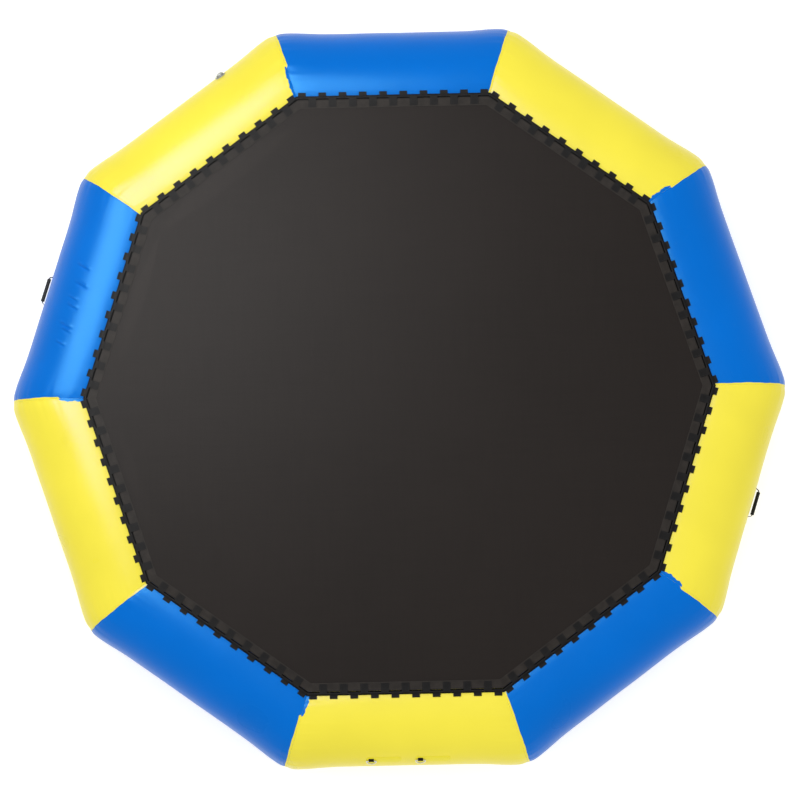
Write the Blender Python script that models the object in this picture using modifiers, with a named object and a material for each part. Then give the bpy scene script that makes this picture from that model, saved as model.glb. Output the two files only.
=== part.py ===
"""Water bouncer: a ten-sided inflatable ring with a laced jump mat.

Metres, +Z up, the floor at z = 0. Side 1 faces 18 degrees from +X, and the others follow anticlockwise.
A side's frame has X along the side, Y towards the middle of the ring and Z up, and its origin is on
the tube's centre line. A skin frame has X along the side, Y up the tube's skin and Z straight out of it,
and its origin is on the skin itself.
"""

import math

import bmesh
import bpy
from mathutils import Matrix, Vector

# Ring and tube
SIDES = 10
RING_WIDTH = 4.572
TUBE_DIAMETER = 0.610
TUBE_FACETS = 48
TUBE_WALL = 0.0010

# Clearances
FIT_GAP = 0.0003
CORD_FIT = 0.00037
SINK = 0.0004

# Lacing: webbing loops on the tube and on the mat, and one cord through them all
CORD_RADIUS = 0.0050
CORD_ABOVE_SKIN = 0.0100
CORD_DOWN_SKIN = 0.0075
CORNER_CLEARANCE = 0.0080
TUBE_LOOPS_PER_SIDE = 10
LOOP_WIDTH = 0.045
LOOP_WALL = 0.0014
TAIL_THICKNESS = 0.0030
TUBE_LOOP_TAIL = 0.0300
MAT_LOOP_TAIL = 0.0550
RAIL_WIDTH = 0.0210
RAIL_THICKNESS = 0.0015
RAIL_PAST_CORD = 0.0120
RAIL_FACET = -3

# Jump mat and its hem
MAT_THICKNESS = 0.0015
MAT_EDGE_INSIDE_CORD = 0.0115
HEM_WIDTH = 0.050
HEM_THICKNESS = 0.0015
HEM_BELOW_CORD = 0.0008
HEM_PRESSES_FABRIC = 0.0002

# Patches on the skin
PATCH_THICKNESS = 0.0015
RING_PATCH_RADIUS = 0.060
HANDLE_PATCH_LENGTH = 0.300
HANDLE_PATCH_HEIGHT = 0.090
HANDLE_PATCH_CORNER = 0.025

# Grab handles, just under the widest line of two sides
HANDLE_SIDES = (5, 10)
HANDLE_FACET = 13
HANDLE_SPAN = 0.150
HANDLE_RISE_RUN = 0.018
HANDLE_FOOT = 0.045
HANDLE_STANDOFF = 0.0280
STRAP_WIDTH = 0.0180
STRAP_THICKNESS = 0.0030
GRIP_LENGTH = 0.140
GRIP_RADIUS = 0.0110
GRIP_BORE_RADIUS = 0.0095

# D-rings, of the boarding ladder and of the moorings
RING_INNER_HALF_WIDTH = 0.0250
RING_WIRE_RADIUS = 0.0030
RING_CORNER = 0.0060
KEEPER_WIDTH = 0.0300
KEEPER_WALL = 0.0020
KEEPER_TAIL = 0.0180
LADDER_SIDE = 8
LADDER_FACET = 8
LADDER_CENTRE_ALONG = -0.065
LADDER_HALF_SPACING = 0.143
LADDER_PATCH_LENGTH = 0.205
LADDER_PATCH_HEIGHT = 0.060
LADDER_PATCH_CORNER = 0.020
LADDER_PATCH_ALONG = 0.0725
MOORING_SIDES = (2, 4, 7, 9)
MOORING_FACET = 18

# Air valve
VALVE_SIDE = 4
VALVE_FACET = 9
VALVE_ALONG = -0.300
VALVE_HOLE_RADIUS = 0.0168
VALVE_NECK_RADIUS = 0.0163
VALVE_NECK_DEPTH = 0.0160
VALVE_BORE_RADIUS = 0.0125
VALVE_FLANGE_RADIUS = 0.0330
VALVE_FLANGE_THICKNESS = 0.0030
VALVE_COLLAR_RADIUS = 0.0180
VALVE_COLLAR_HEIGHT = 0.0110
VALVE_WEB_TOP = -0.0080
VALVE_WEB_THICKNESS = 0.0030
VALVE_AIR_HOLE_RADIUS = 0.0028
VALVE_AIR_HOLE_CIRCLE = 0.0082
VALVE_AIR_HOLES = 4
NUT_RADIUS = 0.0196
NUT_HEIGHT = 0.0080
STEM_RADIUS = 0.0028
STEM_BUTTON_RADIUS = 0.0060
STEM_BUTTON_HEIGHT = 0.0025
STEM_DISC_RADIUS = 0.0150
STEM_DISC_THICKNESS = 0.0025
SPRING_WIRE_RADIUS = 0.0004
SPRING_COIL_RADIUS = 0.0043
SPRING_TURNS = 4
SPRING_POINTS_PER_TURN = 8
CAP_WALL = 0.0027
CAP_TOP_THICKNESS = 0.0025
CAP_GROOVE_DEPTH = 0.0012
CAP_GROOVE_BELOW_TOP = 0.0060
CAP_GRIP_LENGTH = 0.0320
CAP_GRIP_THICKNESS = 0.0070
CAP_GRIP_HEIGHT = 0.0060
TETHER_THICKNESS = 0.0014
TETHER_RING_WIDTH = 0.0040
TETHER_STRAP_WIDTH = 0.0090
TETHER_REACH = 0.0130

# Shares of other sizes, and how finely round shapes are divided
LOOP_NECK_SHARE = 1.05
CAP_GRIP_TOP_SHARE = 0.7
DRILL_DEPTH_SHARE = 2
MERGE_SHARE = 1e-6
ROUND_STEPS = 20
GRIP_FACETS = 10
STEM_STEPS = 13
AIR_HOLE_STEPS = 8
PATCH_CORNER_STEPS = 3
RING_PATCH_QUARTER_STEPS = 5
RING_BOW_STEPS = 8
SHARP_EDGE_ANGLE = math.radians(30)

# Colours as seen in the photograph, in display values
BLUE = (0.00, 0.44, 0.86)
YELLOW = (1.00, 0.90, 0.26)
MAT_GREY = (0.21, 0.20, 0.20)
WEBBING_BLACK = (0.05, 0.05, 0.055)
VALVE_GREY = (0.66, 0.67, 0.66)
STEEL = (0.72, 0.73, 0.74)

# Sizes that follow from the ones above
HALF_TURN = math.pi / SIDES
OUTER_APOTHEM = RING_WIDTH / 2 * math.cos(HALF_TURN)
TUBE_RADIUS = TUBE_DIAMETER / 2
CENTRE_LINE = OUTER_APOTHEM - TUBE_RADIUS
FACET_ANGLE = 2 * math.pi / TUBE_FACETS
PATCH_TOP = FIT_GAP + PATCH_THICKNESS
HEX = math.cos(math.pi / 6)
MERGE_DISTANCE = TUBE_DIAMETER * MERGE_SHARE


def cord_place():
    """The cord's distance inside the centre line, and its height over it."""
    angle = RAIL_FACET * FACET_ANGLE
    out = TUBE_RADIUS + CORD_ABOVE_SKIN
    inward = -math.sin(angle) * out + math.cos(angle) * CORD_DOWN_SKIN
    up = math.cos(angle) * out + math.sin(angle) * CORD_DOWN_SKIN
    return inward, up


CORD_INWARD, CORD_UP = cord_place()
CORD_APOTHEM = CENTRE_LINE - CORD_INWARD
CORD_HEIGHT = TUBE_RADIUS + CORD_UP
CORD_HALF_SIDE = CORD_APOTHEM * math.tan(HALF_TURN)
LOOP_PITCH = (2 * CORD_HALF_SIDE - LOOP_WIDTH - 2 * CORNER_CLEARANCE) / (TUBE_LOOPS_PER_SIDE - 1)
LOOP_HOLE_RADIUS = (CORD_RADIUS + CORD_FIT) / HEX
LOOP_OUTER_RADIUS = LOOP_HOLE_RADIUS + LOOP_WALL
HEM_TOP = CORD_HEIGHT - HEM_BELOW_CORD
MAT_TOP = HEM_TOP - HEM_THICKNESS - FIT_GAP
MAT_APOTHEM = CORD_APOTHEM - MAT_EDGE_INSIDE_CORD
RING_HALF_WIDTH = RING_INNER_HALF_WIDTH + RING_WIRE_RADIUS
KEEPER_HOLE_RADIUS = (RING_WIRE_RADIUS + FIT_GAP) / HEX
KEEPER_OUTER_RADIUS = KEEPER_HOLE_RADIUS + KEEPER_WALL
RING_ABOVE_SKIN = PATCH_TOP + FIT_GAP + KEEPER_OUTER_RADIUS * HEX
COLLAR_TOP = FIT_GAP + VALVE_FLANGE_THICKNESS + VALVE_COLLAR_HEIGHT
CAP_INNER_RADIUS = VALVE_COLLAR_RADIUS + FIT_GAP
CAP_RADIUS = CAP_INNER_RADIUS + CAP_WALL
CAP_BOTTOM = FIT_GAP + VALVE_FLANGE_THICKNESS + FIT_GAP + TETHER_THICKNESS + FIT_GAP
CAP_TOP = COLLAR_TOP + FIT_GAP + CAP_TOP_THICKNESS


def clear_scene():
    """Removes every object that is there before the build."""
    for item in list(bpy.data.objects):
        bpy.data.objects.remove(item, do_unlink=True)


def new_collection(name):
    """A collection of that name in the scene."""
    found = bpy.data.collections.new(name)
    bpy.context.scene.collection.children.link(found)
    return found


def linear(value):
    """A display value of a colour as a linear one."""
    return value / 12.92 if value <= 0.04045 else ((value + 0.055) / 1.055) ** 2.4


def new_material(name, colour, roughness, metallic=0.0):
    """A plain finish."""
    material = bpy.data.materials.new(name)
    material.use_nodes = True
    shader = material.node_tree.nodes["Principled BSDF"]
    shader.inputs["Base Color"].default_value = (*[linear(c) for c in colour], 1.0)
    shader.inputs["Roughness"].default_value = roughness
    shader.inputs["Metallic"].default_value = metallic
    return material


def mesh_of(item):
    """The item's shape as a plain mesh, in the item's own frame, with its doubled points merged."""
    graph = bpy.context.evaluated_depsgraph_get()
    mesh = bpy.data.meshes.new_from_object(item.evaluated_get(graph))
    shape = bmesh.new()
    shape.from_mesh(mesh)
    bmesh.ops.remove_doubles(shape, verts=shape.verts, dist=MERGE_DISTANCE)
    face_outwards(shape)
    shape.to_mesh(mesh)
    shape.free()
    return mesh


def face_outwards(shape):
    """Makes the faces of a closed shape point out of its material."""
    bmesh.ops.recalc_face_normals(shape, faces=shape.faces)
    if shape.calc_volume(signed=True) < 0:
        bmesh.ops.reverse_faces(shape, faces=shape.faces)


def prism(name, outlines, start, end):
    """Closed outlines in the YZ plane carried along X. The outlines after the first one are holes."""
    curve = bpy.data.curves.new(name, "CURVE")
    curve.dimensions = "2D"
    curve.fill_mode = "BOTH"
    curve.extrude = (end - start) / 2
    for outline in outlines:
        spline = curve.splines.new("POLY")
        spline.points.add(len(outline) - 1)
        for point, (y, z) in zip(spline.points, outline):
            point.co = (y, z, 0.0, 1.0)
        spline.use_cyclic_u = True
    item = bpy.data.objects.new(name, curve)
    bpy.context.scene.collection.objects.link(item)
    bpy.context.view_layer.update()
    mesh = mesh_of(item)
    bpy.data.objects.remove(item)
    middle = (start + end) / 2
    mesh.transform(Matrix(((0, 0, 1, middle), (1, 0, 0, 0), (0, 1, 0, 0), (0, 0, 0, 1))))
    mesh.name = name
    return mesh


def copies(mesh, matrices):
    """One mesh that holds a copy of the given mesh at each matrix."""
    shape = bmesh.new()
    for matrix in matrices:
        moved = mesh.copy()
        moved.transform(matrix)
        shape.from_mesh(moved)
        bpy.data.meshes.remove(moved)
    result = bpy.data.meshes.new(mesh.name)
    shape.to_mesh(result)
    shape.free()
    return result


def combine(mesh, other, operation):
    """The union, difference or intersection of two closed meshes."""
    first = bpy.data.objects.new("first", mesh)
    second = bpy.data.objects.new("second", other)
    for item in (first, second):
        bpy.context.scene.collection.objects.link(item)
    modifier = first.modifiers.new("join", "BOOLEAN")
    modifier.operation = operation
    modifier.solver = "EXACT"
    modifier.object = second
    bpy.context.view_layer.update()
    result = mesh_of(first)
    result.name = mesh.name
    bpy.data.objects.remove(first)
    bpy.data.objects.remove(second)
    return result


def turned(name, profile, closed, steps=ROUND_STEPS):
    """A profile of (radius, height) points turned about Z."""
    mesh = bpy.data.meshes.new(name)
    points = [(radius, 0.0, height) for radius, height in profile]
    edges = [(i, i + 1) for i in range(len(points) - 1)]
    if closed:
        edges.append((len(points) - 1, 0))
    mesh.from_pydata(points, edges, [])
    item = bpy.data.objects.new(name, mesh)
    bpy.context.scene.collection.objects.link(item)
    screw = item.modifiers.new("turn", "SCREW")
    screw.steps = steps
    screw.render_steps = steps
    screw.use_merge_vertices = True
    screw.merge_threshold = MERGE_DISTANCE
    bpy.context.view_layer.update()
    result = mesh_of(item)
    bpy.data.objects.remove(item)
    result.name = name
    return result


def wire(name, points, radius, closed, resolution=1):
    """A round wire or cord through the points."""
    curve = bpy.data.curves.new(name, "CURVE")
    curve.dimensions = "3D"
    curve.bevel_depth = radius
    curve.bevel_resolution = resolution
    curve.use_fill_caps = not closed
    spline = curve.splines.new("POLY")
    spline.points.add(len(points) - 1)
    for point, place in zip(spline.points, points):
        point.co = (*place, 1.0)
    spline.use_cyclic_u = closed
    return curve


def add(name, data, material, matrix=None):
    """One named piece of the object."""
    item = bpy.data.objects.new(name, data)
    parts.objects.link(item)
    if not data.materials:
        data.materials.append(material)
    if matrix is not None:
        item.matrix_world = matrix
    if isinstance(data, bpy.types.Mesh):
        data.shade_smooth()
        data.set_sharp_from_angle(angle=SHARP_EDGE_ANGLE)
    return item


def side_matrix(side):
    """A side's frame, for sides numbered from 1."""
    turn = Matrix.Rotation((2 * side - 1) * HALF_TURN, 4, "Z")
    frame = Matrix(((0, -1, 0, CENTRE_LINE), (1, 0, 0, 0), (0, 0, 1, TUBE_RADIUS), (0, 0, 0, 1)))
    return turn @ frame


def skin_matrix(side, facet, along, out=0.0):
    """The skin frame on one of the tube's flat facets, counted outwards from its top."""
    turn = Matrix.Rotation(facet * FACET_ANGLE, 4, "X")
    place = side_matrix(side) @ Matrix.Translation((along, 0, 0))
    return place @ turn @ Matrix.Translation((0, 0, TUBE_RADIUS + out))


def polygon(count, apothem, half_steps=1, centre=(0.0, 0.0)):
    """A regular outline whose sides lie at the apothem, with a corner so many half steps from Z."""
    radius = apothem / math.cos(math.pi / count)
    angles = [(2 * i + half_steps) * math.pi / count for i in range(count)]
    return [(centre[0] + radius * math.sin(a), centre[1] + radius * math.cos(a)) for a in angles]


def mitre(mesh, gap):
    """Moves the two ends of a prism in a side's frame onto the planes of the ring's corners."""
    for vertex in mesh.vertices:
        reach = (CENTRE_LINE - vertex.co.y) * math.tan(HALF_TURN) - gap / 2 / math.cos(HALF_TURN)
        vertex.co.x = math.copysign(reach, vertex.co.x)
    return mesh


def tube_mesh(name):
    """A straight length of hollow tube, mitred at both ends."""
    outer = polygon(TUBE_FACETS, TUBE_RADIUS)
    inner = polygon(TUBE_FACETS, TUBE_RADIUS - TUBE_WALL)
    return mitre(prism(name, [outer, inner], -TUBE_RADIUS, TUBE_RADIUS), FIT_GAP)


def with_valve_hole(mesh):
    """The tube's mesh with a hole through its skin for the valve's neck."""
    above = TUBE_WALL
    below = -DRILL_DEPTH_SHARE * TUBE_WALL
    radius = VALVE_HOLE_RADIUS
    drill = turned("drill", [(0, above), (radius, above), (radius, below), (0, below)], False)
    drill.transform(side_matrix(VALVE_SIDE).inverted() @ skin_matrix(VALVE_SIDE, VALVE_FACET, VALVE_ALONG))
    return combine(mesh.copy(), drill, "DIFFERENCE")


def build_tube():
    """The ten lengths of tube, which are welded to each other along their mitred ends."""
    blue = new_material("pvc_blue", BLUE, 0.28)
    yellow = new_material("pvc_yellow", YELLOW, 0.28)
    meshes = {blue: tube_mesh("tube_blue"), yellow: tube_mesh("tube_yellow")}
    for side in range(1, SIDES + 1):
        material = blue if side % 2 else yellow
        mesh = meshes[material]
        if side == VALVE_SIDE:
            mesh = with_valve_hole(mesh)
        add(f"tube_segment_{side:02d}", mesh, material, side_matrix(side))


def tube_loop_outlines():
    """A webbing loop on the tube: its tail lies outwards on the skin, and its eye goes round the cord."""
    bottom = FIT_GAP + SINK
    y, z, radius = CORD_DOWN_SKIN, CORD_ABOVE_SKIN, LOOP_OUTER_RADIUS
    outer = [
        (y - TUBE_LOOP_TAIL, bottom),
        (y - TUBE_LOOP_TAIL, bottom + TAIL_THICKNESS),
        (y, z + radius),
        (y + radius * HEX, z + radius / 2),
        (y + radius * HEX, bottom),
    ]
    return [outer, polygon(6, LOOP_HOLE_RADIUS * HEX, 0, (y, z))]


def loop_places(count):
    """Where so many loops lie along a side."""
    return [(i - (count - 1) / 2) * LOOP_PITCH for i in range(count)]


def rail_mesh():
    """A narrow webbing strip along the side that carries the tube's loops, in the skin frame."""
    low = CORD_DOWN_SKIN + RAIL_PAST_CORD - RAIL_WIDTH
    high = CORD_DOWN_SKIN + RAIL_PAST_CORD
    top = FIT_GAP + RAIL_THICKNESS
    outline = [(low, FIT_GAP), (low, top), (high, top), (high, FIT_GAP)]
    strip = prism("lacing_rail", [outline], -TUBE_RADIUS, TUBE_RADIUS)
    to_side = side_matrix(1).inverted() @ skin_matrix(1, RAIL_FACET, 0.0)
    strip.transform(to_side)
    mitre(strip, 2 * FIT_GAP)
    loop = prism("tube_loop", tube_loop_outlines(), -LOOP_WIDTH / 2, LOOP_WIDTH / 2)
    loop.transform(to_side)
    places = [Matrix.Translation((along, 0, 0)) for along in loop_places(TUBE_LOOPS_PER_SIDE)]
    return combine(strip, copies(loop, places), "UNION")


def mat_loop_outlines():
    """A webbing loop on the mat, in a side's frame: its eye goes round the cord, its tail lies on the hem."""
    y, z, radius = CORD_INWARD, CORD_UP, LOOP_OUTER_RADIUS
    low = HEM_TOP - SINK - TUBE_RADIUS
    high = low + TAIL_THICKNESS
    outer = [
        (y + MAT_LOOP_TAIL, low),
        (y + MAT_LOOP_TAIL, high),
        (y, z + radius),
        (y - radius * HEX, z + radius / 2),
        (y - radius * HEX, z - radius / 2),
        (y, z - radius),
        (y + MAT_EDGE_INSIDE_CORD * LOOP_NECK_SHARE, low),
    ]
    return [outer, polygon(6, LOOP_HOLE_RADIUS * HEX, 0, (y, z))]


def flat_ring(name, outer_apothem, inner_apothem, low, high):
    """A flat plate with the ring's outline, and a hole of the same outline if inner_apothem isn't zero."""
    outlines = [polygon(SIDES, outer_apothem)]
    if inner_apothem:
        outlines.append(polygon(SIDES, inner_apothem))
    mesh = prism(name, outlines, low, high)
    mesh.transform(Matrix(((0, 1, 0, 0), (0, 0, 1, 0), (1, 0, 0, 0), (0, 0, 0, 1))))
    return mesh


def mat_mesh():
    """A plate of fabric, a little thinner where the hem is sewn on it."""
    low = MAT_TOP - MAT_THICKNESS
    sewn = flat_ring("jump_mat", MAT_APOTHEM, 0, low, MAT_TOP - HEM_PRESSES_FABRIC)
    free = flat_ring("mat_free", MAT_APOTHEM - HEM_WIDTH - FIT_GAP, 0, low + HEM_PRESSES_FABRIC, MAT_TOP)
    return combine(sewn, free, "UNION")


def build_lacing():
    """The webbing on the tube, the mat with its hem, and the cord that joins the two."""
    black = new_material("webbing_black", WEBBING_BLACK, 0.75)
    rail = rail_mesh()
    for side in range(1, SIDES + 1):
        add(f"lacing_rail_{side:02d}", rail, black, side_matrix(side))
    loop = prism("mat_loop", mat_loop_outlines(), -LOOP_WIDTH / 2, LOOP_WIDTH / 2)
    places = [
        side_matrix(side) @ Matrix.Translation((along, 0, 0))
        for side in range(1, SIDES + 1)
        for along in loop_places(TUBE_LOOPS_PER_SIDE - 1)
    ]
    hem = flat_ring("mat_hem", MAT_APOTHEM, MAT_APOTHEM - HEM_WIDTH, HEM_TOP - HEM_THICKNESS, HEM_TOP)
    add("mat_hem", combine(hem, copies(loop, places), "UNION"), black)
    fabric = new_material("mat_fabric", MAT_GREY, 0.6)
    add("jump_mat", mat_mesh(), fabric)
    cord = wire("lacing_cord", cord_points(), CORD_RADIUS, True)
    add("lacing_cord", cord, new_material("cord_black", WEBBING_BLACK, 0.6))


def cord_points():
    """Once round the ring through every loop. The cord's ends are spliced, so it closes on itself."""
    points = []
    straight = CORD_HALF_SIDE - CORNER_CLEARANCE
    for side in range(1, SIDES + 1):
        turn = Matrix.Rotation((2 * side - 1) * HALF_TURN, 4, "Z")
        points += [turn @ Vector((CORD_APOTHEM, along, CORD_HEIGHT)) for along in (-straight, straight)]
        points += corner_arc(side)
    return points


def corner_arc(side):
    """Two points that round the cord's corner after a side."""
    radius = CORNER_CLEARANCE / math.tan(HALF_TURN)
    centre = CORD_APOTHEM / math.cos(HALF_TURN) - radius / math.cos(HALF_TURN)
    turn = Matrix.Rotation(2 * side * HALF_TURN, 4, "Z")
    swings = (-HALF_TURN / 3, HALF_TURN / 3)
    return [turn @ Vector((centre + radius * math.cos(a), radius * math.sin(a), CORD_HEIGHT)) for a in swings]


def skin_strip(name, half_arc_facets, thickness, start, end):
    """A strip over the facets nearest to the skin frame's own one, lying on the skin."""
    low = TUBE_RADIUS + FIT_GAP
    high = low + thickness
    angles = [(i + 0.5) * FACET_ANGLE for i in range(-half_arc_facets - 1, half_arc_facets + 1)]
    bend = math.cos(FACET_ANGLE / 2)
    inner = [(low / bend * math.sin(a), low / bend * math.cos(a) - TUBE_RADIUS) for a in angles]
    outer = [(high / bend * math.sin(a), high / bend * math.cos(a) - TUBE_RADIUS) for a in angles]
    return prism(name, [inner + outer[::-1]], start, end)


def rounded_outline(half_length, half_height, corner, steps):
    """A rounded rectangle. A circle, if the corner's radius equals both halves."""
    points = []
    for quarter, (a, b) in enumerate(((1, 1), (-1, 1), (-1, -1), (1, -1))):
        for i in range(steps + 1):
            angle = math.pi / 2 * (quarter + i / steps)
            x = a * (half_length - corner) + corner * math.cos(angle)
            y = b * (half_height - corner) + corner * math.sin(angle)
            if not points or math.dist(points[-1], (x, y)) > MERGE_DISTANCE:
                points.append((x, y))
    if math.dist(points[0], points[-1]) < MERGE_DISTANCE:
        points.pop()
    return points


def patch_mesh(name, half_length, half_height, corner, steps):
    """A thin patch glued on the skin, cut to a rounded outline, in the skin frame."""
    facet_width = 2 * TUBE_RADIUS * math.tan(FACET_ANGLE / 2)
    facets = math.ceil(half_height / facet_width) + 1
    reach = half_length + half_height
    strip = skin_strip(name, facets, PATCH_THICKNESS, -reach, reach)
    outline = rounded_outline(half_length, half_height, corner, steps)
    cutter = prism("outline", [outline], -TUBE_RADIUS, TUBE_RADIUS)
    cutter.transform(Matrix(((0, 1, 0, 0), (0, 0, 1, 0), (1, 0, 0, 0), (0, 0, 0, 1))))
    return combine(strip, cutter, "INTERSECT")


def strap_outline():
    """The strap's edge in the skin frame: two feet on the patch, and a span that stands off the skin."""
    low = PATCH_TOP + FIT_GAP + STRAP_THICKNESS / 2
    high = HANDLE_STANDOFF
    half = HANDLE_SPAN / 2
    run = HANDLE_RISE_RUN
    middle = [
        (-half - run - HANDLE_FOOT, low),
        (-half - run, low),
        (-half, high),
        (half, high),
        (half + run, low),
        (half + run + HANDLE_FOOT, low),
    ]
    slope = math.atan2(high - low, run)
    thick = STRAP_THICKNESS / 2
    lean = thick * math.tan(slope / 2)
    shifts = (0, lean, lean, -lean, -lean, 0)
    above = [(x - shift, z + thick) for (x, z), shift in zip(middle, shifts)]
    below = [(x + shift, z - thick) for (x, z), shift in zip(middle, shifts)]
    return above + below[::-1]


def build_handles():
    """Two grab handles, each a strap through a grip, on a patch."""
    black = new_material("handle_webbing", WEBBING_BLACK, 0.7)
    rubber = new_material("grip_rubber", WEBBING_BLACK, 0.5)
    strap = prism("grab_strap", [strap_outline()], -STRAP_WIDTH / 2, STRAP_WIDTH / 2)
    strap.transform(Matrix(((0, 1, 0, 0), (1, 0, 0, 0), (0, 0, 1, 0), (0, 0, 0, 1))))
    strap.flip_normals()
    sleeve = [polygon(GRIP_FACETS, GRIP_RADIUS), polygon(GRIP_FACETS, GRIP_BORE_RADIUS)]
    grip = prism("grab_grip", sleeve, -GRIP_LENGTH / 2, GRIP_LENGTH / 2)
    half_length = HANDLE_PATCH_LENGTH / 2
    half_height = HANDLE_PATCH_HEIGHT / 2
    for number, side in enumerate(HANDLE_SIDES, 1):
        colour = BLUE if side % 2 else YELLOW
        patch = patch_mesh("grab_patch", half_length, half_height, HANDLE_PATCH_CORNER, PATCH_CORNER_STEPS)
        place = skin_matrix(side, HANDLE_FACET, 0)
        add(f"grab_patch_{number}", patch, new_material(f"grab_patch_{number}", colour, 0.3), place)
        add(f"grab_strap_{number}", strap, black, place)
        add(f"grab_grip_{number}", grip, rubber, skin_matrix(side, HANDLE_FACET, 0, HANDLE_STANDOFF))


def ring_points():
    """A D-ring's wire: its bar lies on X through the origin, and its bow hangs towards -Y."""
    half, corner = RING_HALF_WIDTH, RING_CORNER
    angles = [i * math.pi / RING_BOW_STEPS for i in range(RING_BOW_STEPS + 1)]
    bow = [(half * math.cos(a), -corner - half * math.sin(a), 0.0) for a in angles]
    return [(-half + corner, 0.0, 0.0), (half - corner, 0.0, 0.0), *bow]


def keeper_outlines(bottom):
    """A webbing loop round a D-ring's bar, in the skin frame, with its tail up the skin."""
    z, radius = RING_ABOVE_SKIN, KEEPER_OUTER_RADIUS
    outer = [
        (KEEPER_TAIL, bottom),
        (KEEPER_TAIL, bottom + TAIL_THICKNESS),
        (radius / 2, z + radius * HEX),
        (-radius / 2, z + radius * HEX),
        (-radius, z),
        (-radius / 2, bottom),
    ]
    return [outer, polygon(6, KEEPER_HOLE_RADIUS * HEX, 1, (0.0, z))]


def build_rings():
    """The rings that a boarding ladder hangs from, and the four mooring rings."""
    steel = new_material("ring_steel", STEEL, 0.2, 1.0)
    black = new_material("keeper_webbing", WEBBING_BLACK, 0.75)
    ring = wire("d_ring", ring_points(), RING_WIRE_RADIUS, True)
    pvc = new_material("ladder_patch_pvc", YELLOW, 0.3)
    radius = RING_PATCH_RADIUS
    patch = patch_mesh("ring_patch", radius, radius, radius, RING_PATCH_QUARTER_STEPS)
    half_length = LADDER_PATCH_LENGTH / 2
    half_height = LADDER_PATCH_HEIGHT / 2
    oblong = patch_mesh("ladder_patch", half_length, half_height, LADDER_PATCH_CORNER, PATCH_CORNER_STEPS)
    keeper = prism("keeper", keeper_outlines(PATCH_TOP + FIT_GAP), -KEEPER_WIDTH / 2, KEEPER_WIDTH / 2)
    for number, along in enumerate((-LADDER_HALF_SPACING, LADDER_HALF_SPACING), 1):
        along += LADDER_CENTRE_ALONG
        place = skin_matrix(LADDER_SIDE, LADDER_FACET, along)
        patch_place = skin_matrix(LADDER_SIDE, LADDER_FACET, along + LADDER_PATCH_ALONG)
        add(f"ladder_patch_{number}", oblong, pvc, patch_place)
        add(f"ladder_keeper_{number}", keeper, black, place)
        place = skin_matrix(LADDER_SIDE, LADDER_FACET, along, RING_ABOVE_SKIN)
        add(f"ladder_ring_{number}", ring, steel, place)
    outlines = keeper_outlines(PATCH_TOP - SINK)
    sewn = prism("mooring_keeper", outlines, -KEEPER_WIDTH / 2, KEEPER_WIDTH / 2)
    mooring = combine(patch.copy(), sewn, "UNION")
    mooring.materials.clear()
    hang = math.pi / 2 - MOORING_FACET * FACET_ANGLE
    for number, side in enumerate(MOORING_SIDES, 1):
        add(f"mooring_patch_{number}", mooring, black, skin_matrix(side, MOORING_FACET, 0))
        place = skin_matrix(side, MOORING_FACET, 0, RING_ABOVE_SKIN) @ Matrix.Rotation(hang, 4, "X")
        add(f"mooring_ring_{number}", ring, steel, place)


def valve_body_mesh():
    """Flange and collar outside the skin, neck inside it, and a web with air holes that guides the stem."""
    flange_low = FIT_GAP
    flange_top = FIT_GAP + VALVE_FLANGE_THICKNESS
    web_low = VALVE_WEB_TOP - VALVE_WEB_THICKNESS
    profile = [
        (VALVE_BORE_RADIUS, COLLAR_TOP),
        (VALVE_COLLAR_RADIUS, COLLAR_TOP),
        (VALVE_COLLAR_RADIUS, flange_top),
        (VALVE_FLANGE_RADIUS, flange_top),
        (VALVE_FLANGE_RADIUS, flange_low),
        (VALVE_NECK_RADIUS, flange_low),
        (VALVE_NECK_RADIUS, -VALVE_NECK_DEPTH),
        (VALVE_BORE_RADIUS, -VALVE_NECK_DEPTH),
        (VALVE_BORE_RADIUS, web_low),
        (STEM_RADIUS + FIT_GAP, web_low),
        (STEM_RADIUS + FIT_GAP, VALVE_WEB_TOP),
        (VALVE_BORE_RADIUS, VALVE_WEB_TOP),
    ]
    body = turned("valve_body", profile, True)
    deep = DRILL_DEPTH_SHARE * web_low
    radius = VALVE_AIR_HOLE_RADIUS
    drill = turned("air_holes", [(0, 0), (radius, 0), (radius, deep), (0, deep)], False, AIR_HOLE_STEPS)
    turns = [Matrix.Rotation(2 * math.pi * i / VALVE_AIR_HOLES, 4, "Z") for i in range(VALVE_AIR_HOLES)]
    holes = copies(drill, [turn @ Matrix.Translation((VALVE_AIR_HOLE_CIRCLE, 0, 0)) for turn in turns])
    return combine(body, holes, "DIFFERENCE")


def nut_mesh():
    """The nut that clamps the tube's wall under the flange."""
    top = -TUBE_WALL - FIT_GAP
    bore = VALVE_NECK_RADIUS + FIT_GAP
    profile = [(bore, top), (NUT_RADIUS, top), (NUT_RADIUS, top - NUT_HEIGHT), (bore, top - NUT_HEIGHT)]
    return turned("valve_nut", profile, True)


def stem_mesh():
    """A pin with a button to press and a disc that seals the neck's lower end."""
    disc_top = -VALVE_NECK_DEPTH - FIT_GAP
    disc_low = disc_top - STEM_DISC_THICKNESS
    profile = [
        (0.0, STEM_BUTTON_HEIGHT),
        (STEM_BUTTON_RADIUS, STEM_BUTTON_HEIGHT),
        (STEM_BUTTON_RADIUS, 0.0),
        (STEM_RADIUS, 0.0),
        (STEM_RADIUS, disc_top),
        (STEM_DISC_RADIUS, disc_top),
        (STEM_DISC_RADIUS, disc_low),
        (0.0, disc_low),
    ]
    return turned("valve_stem", profile, False, STEM_STEPS)


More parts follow.
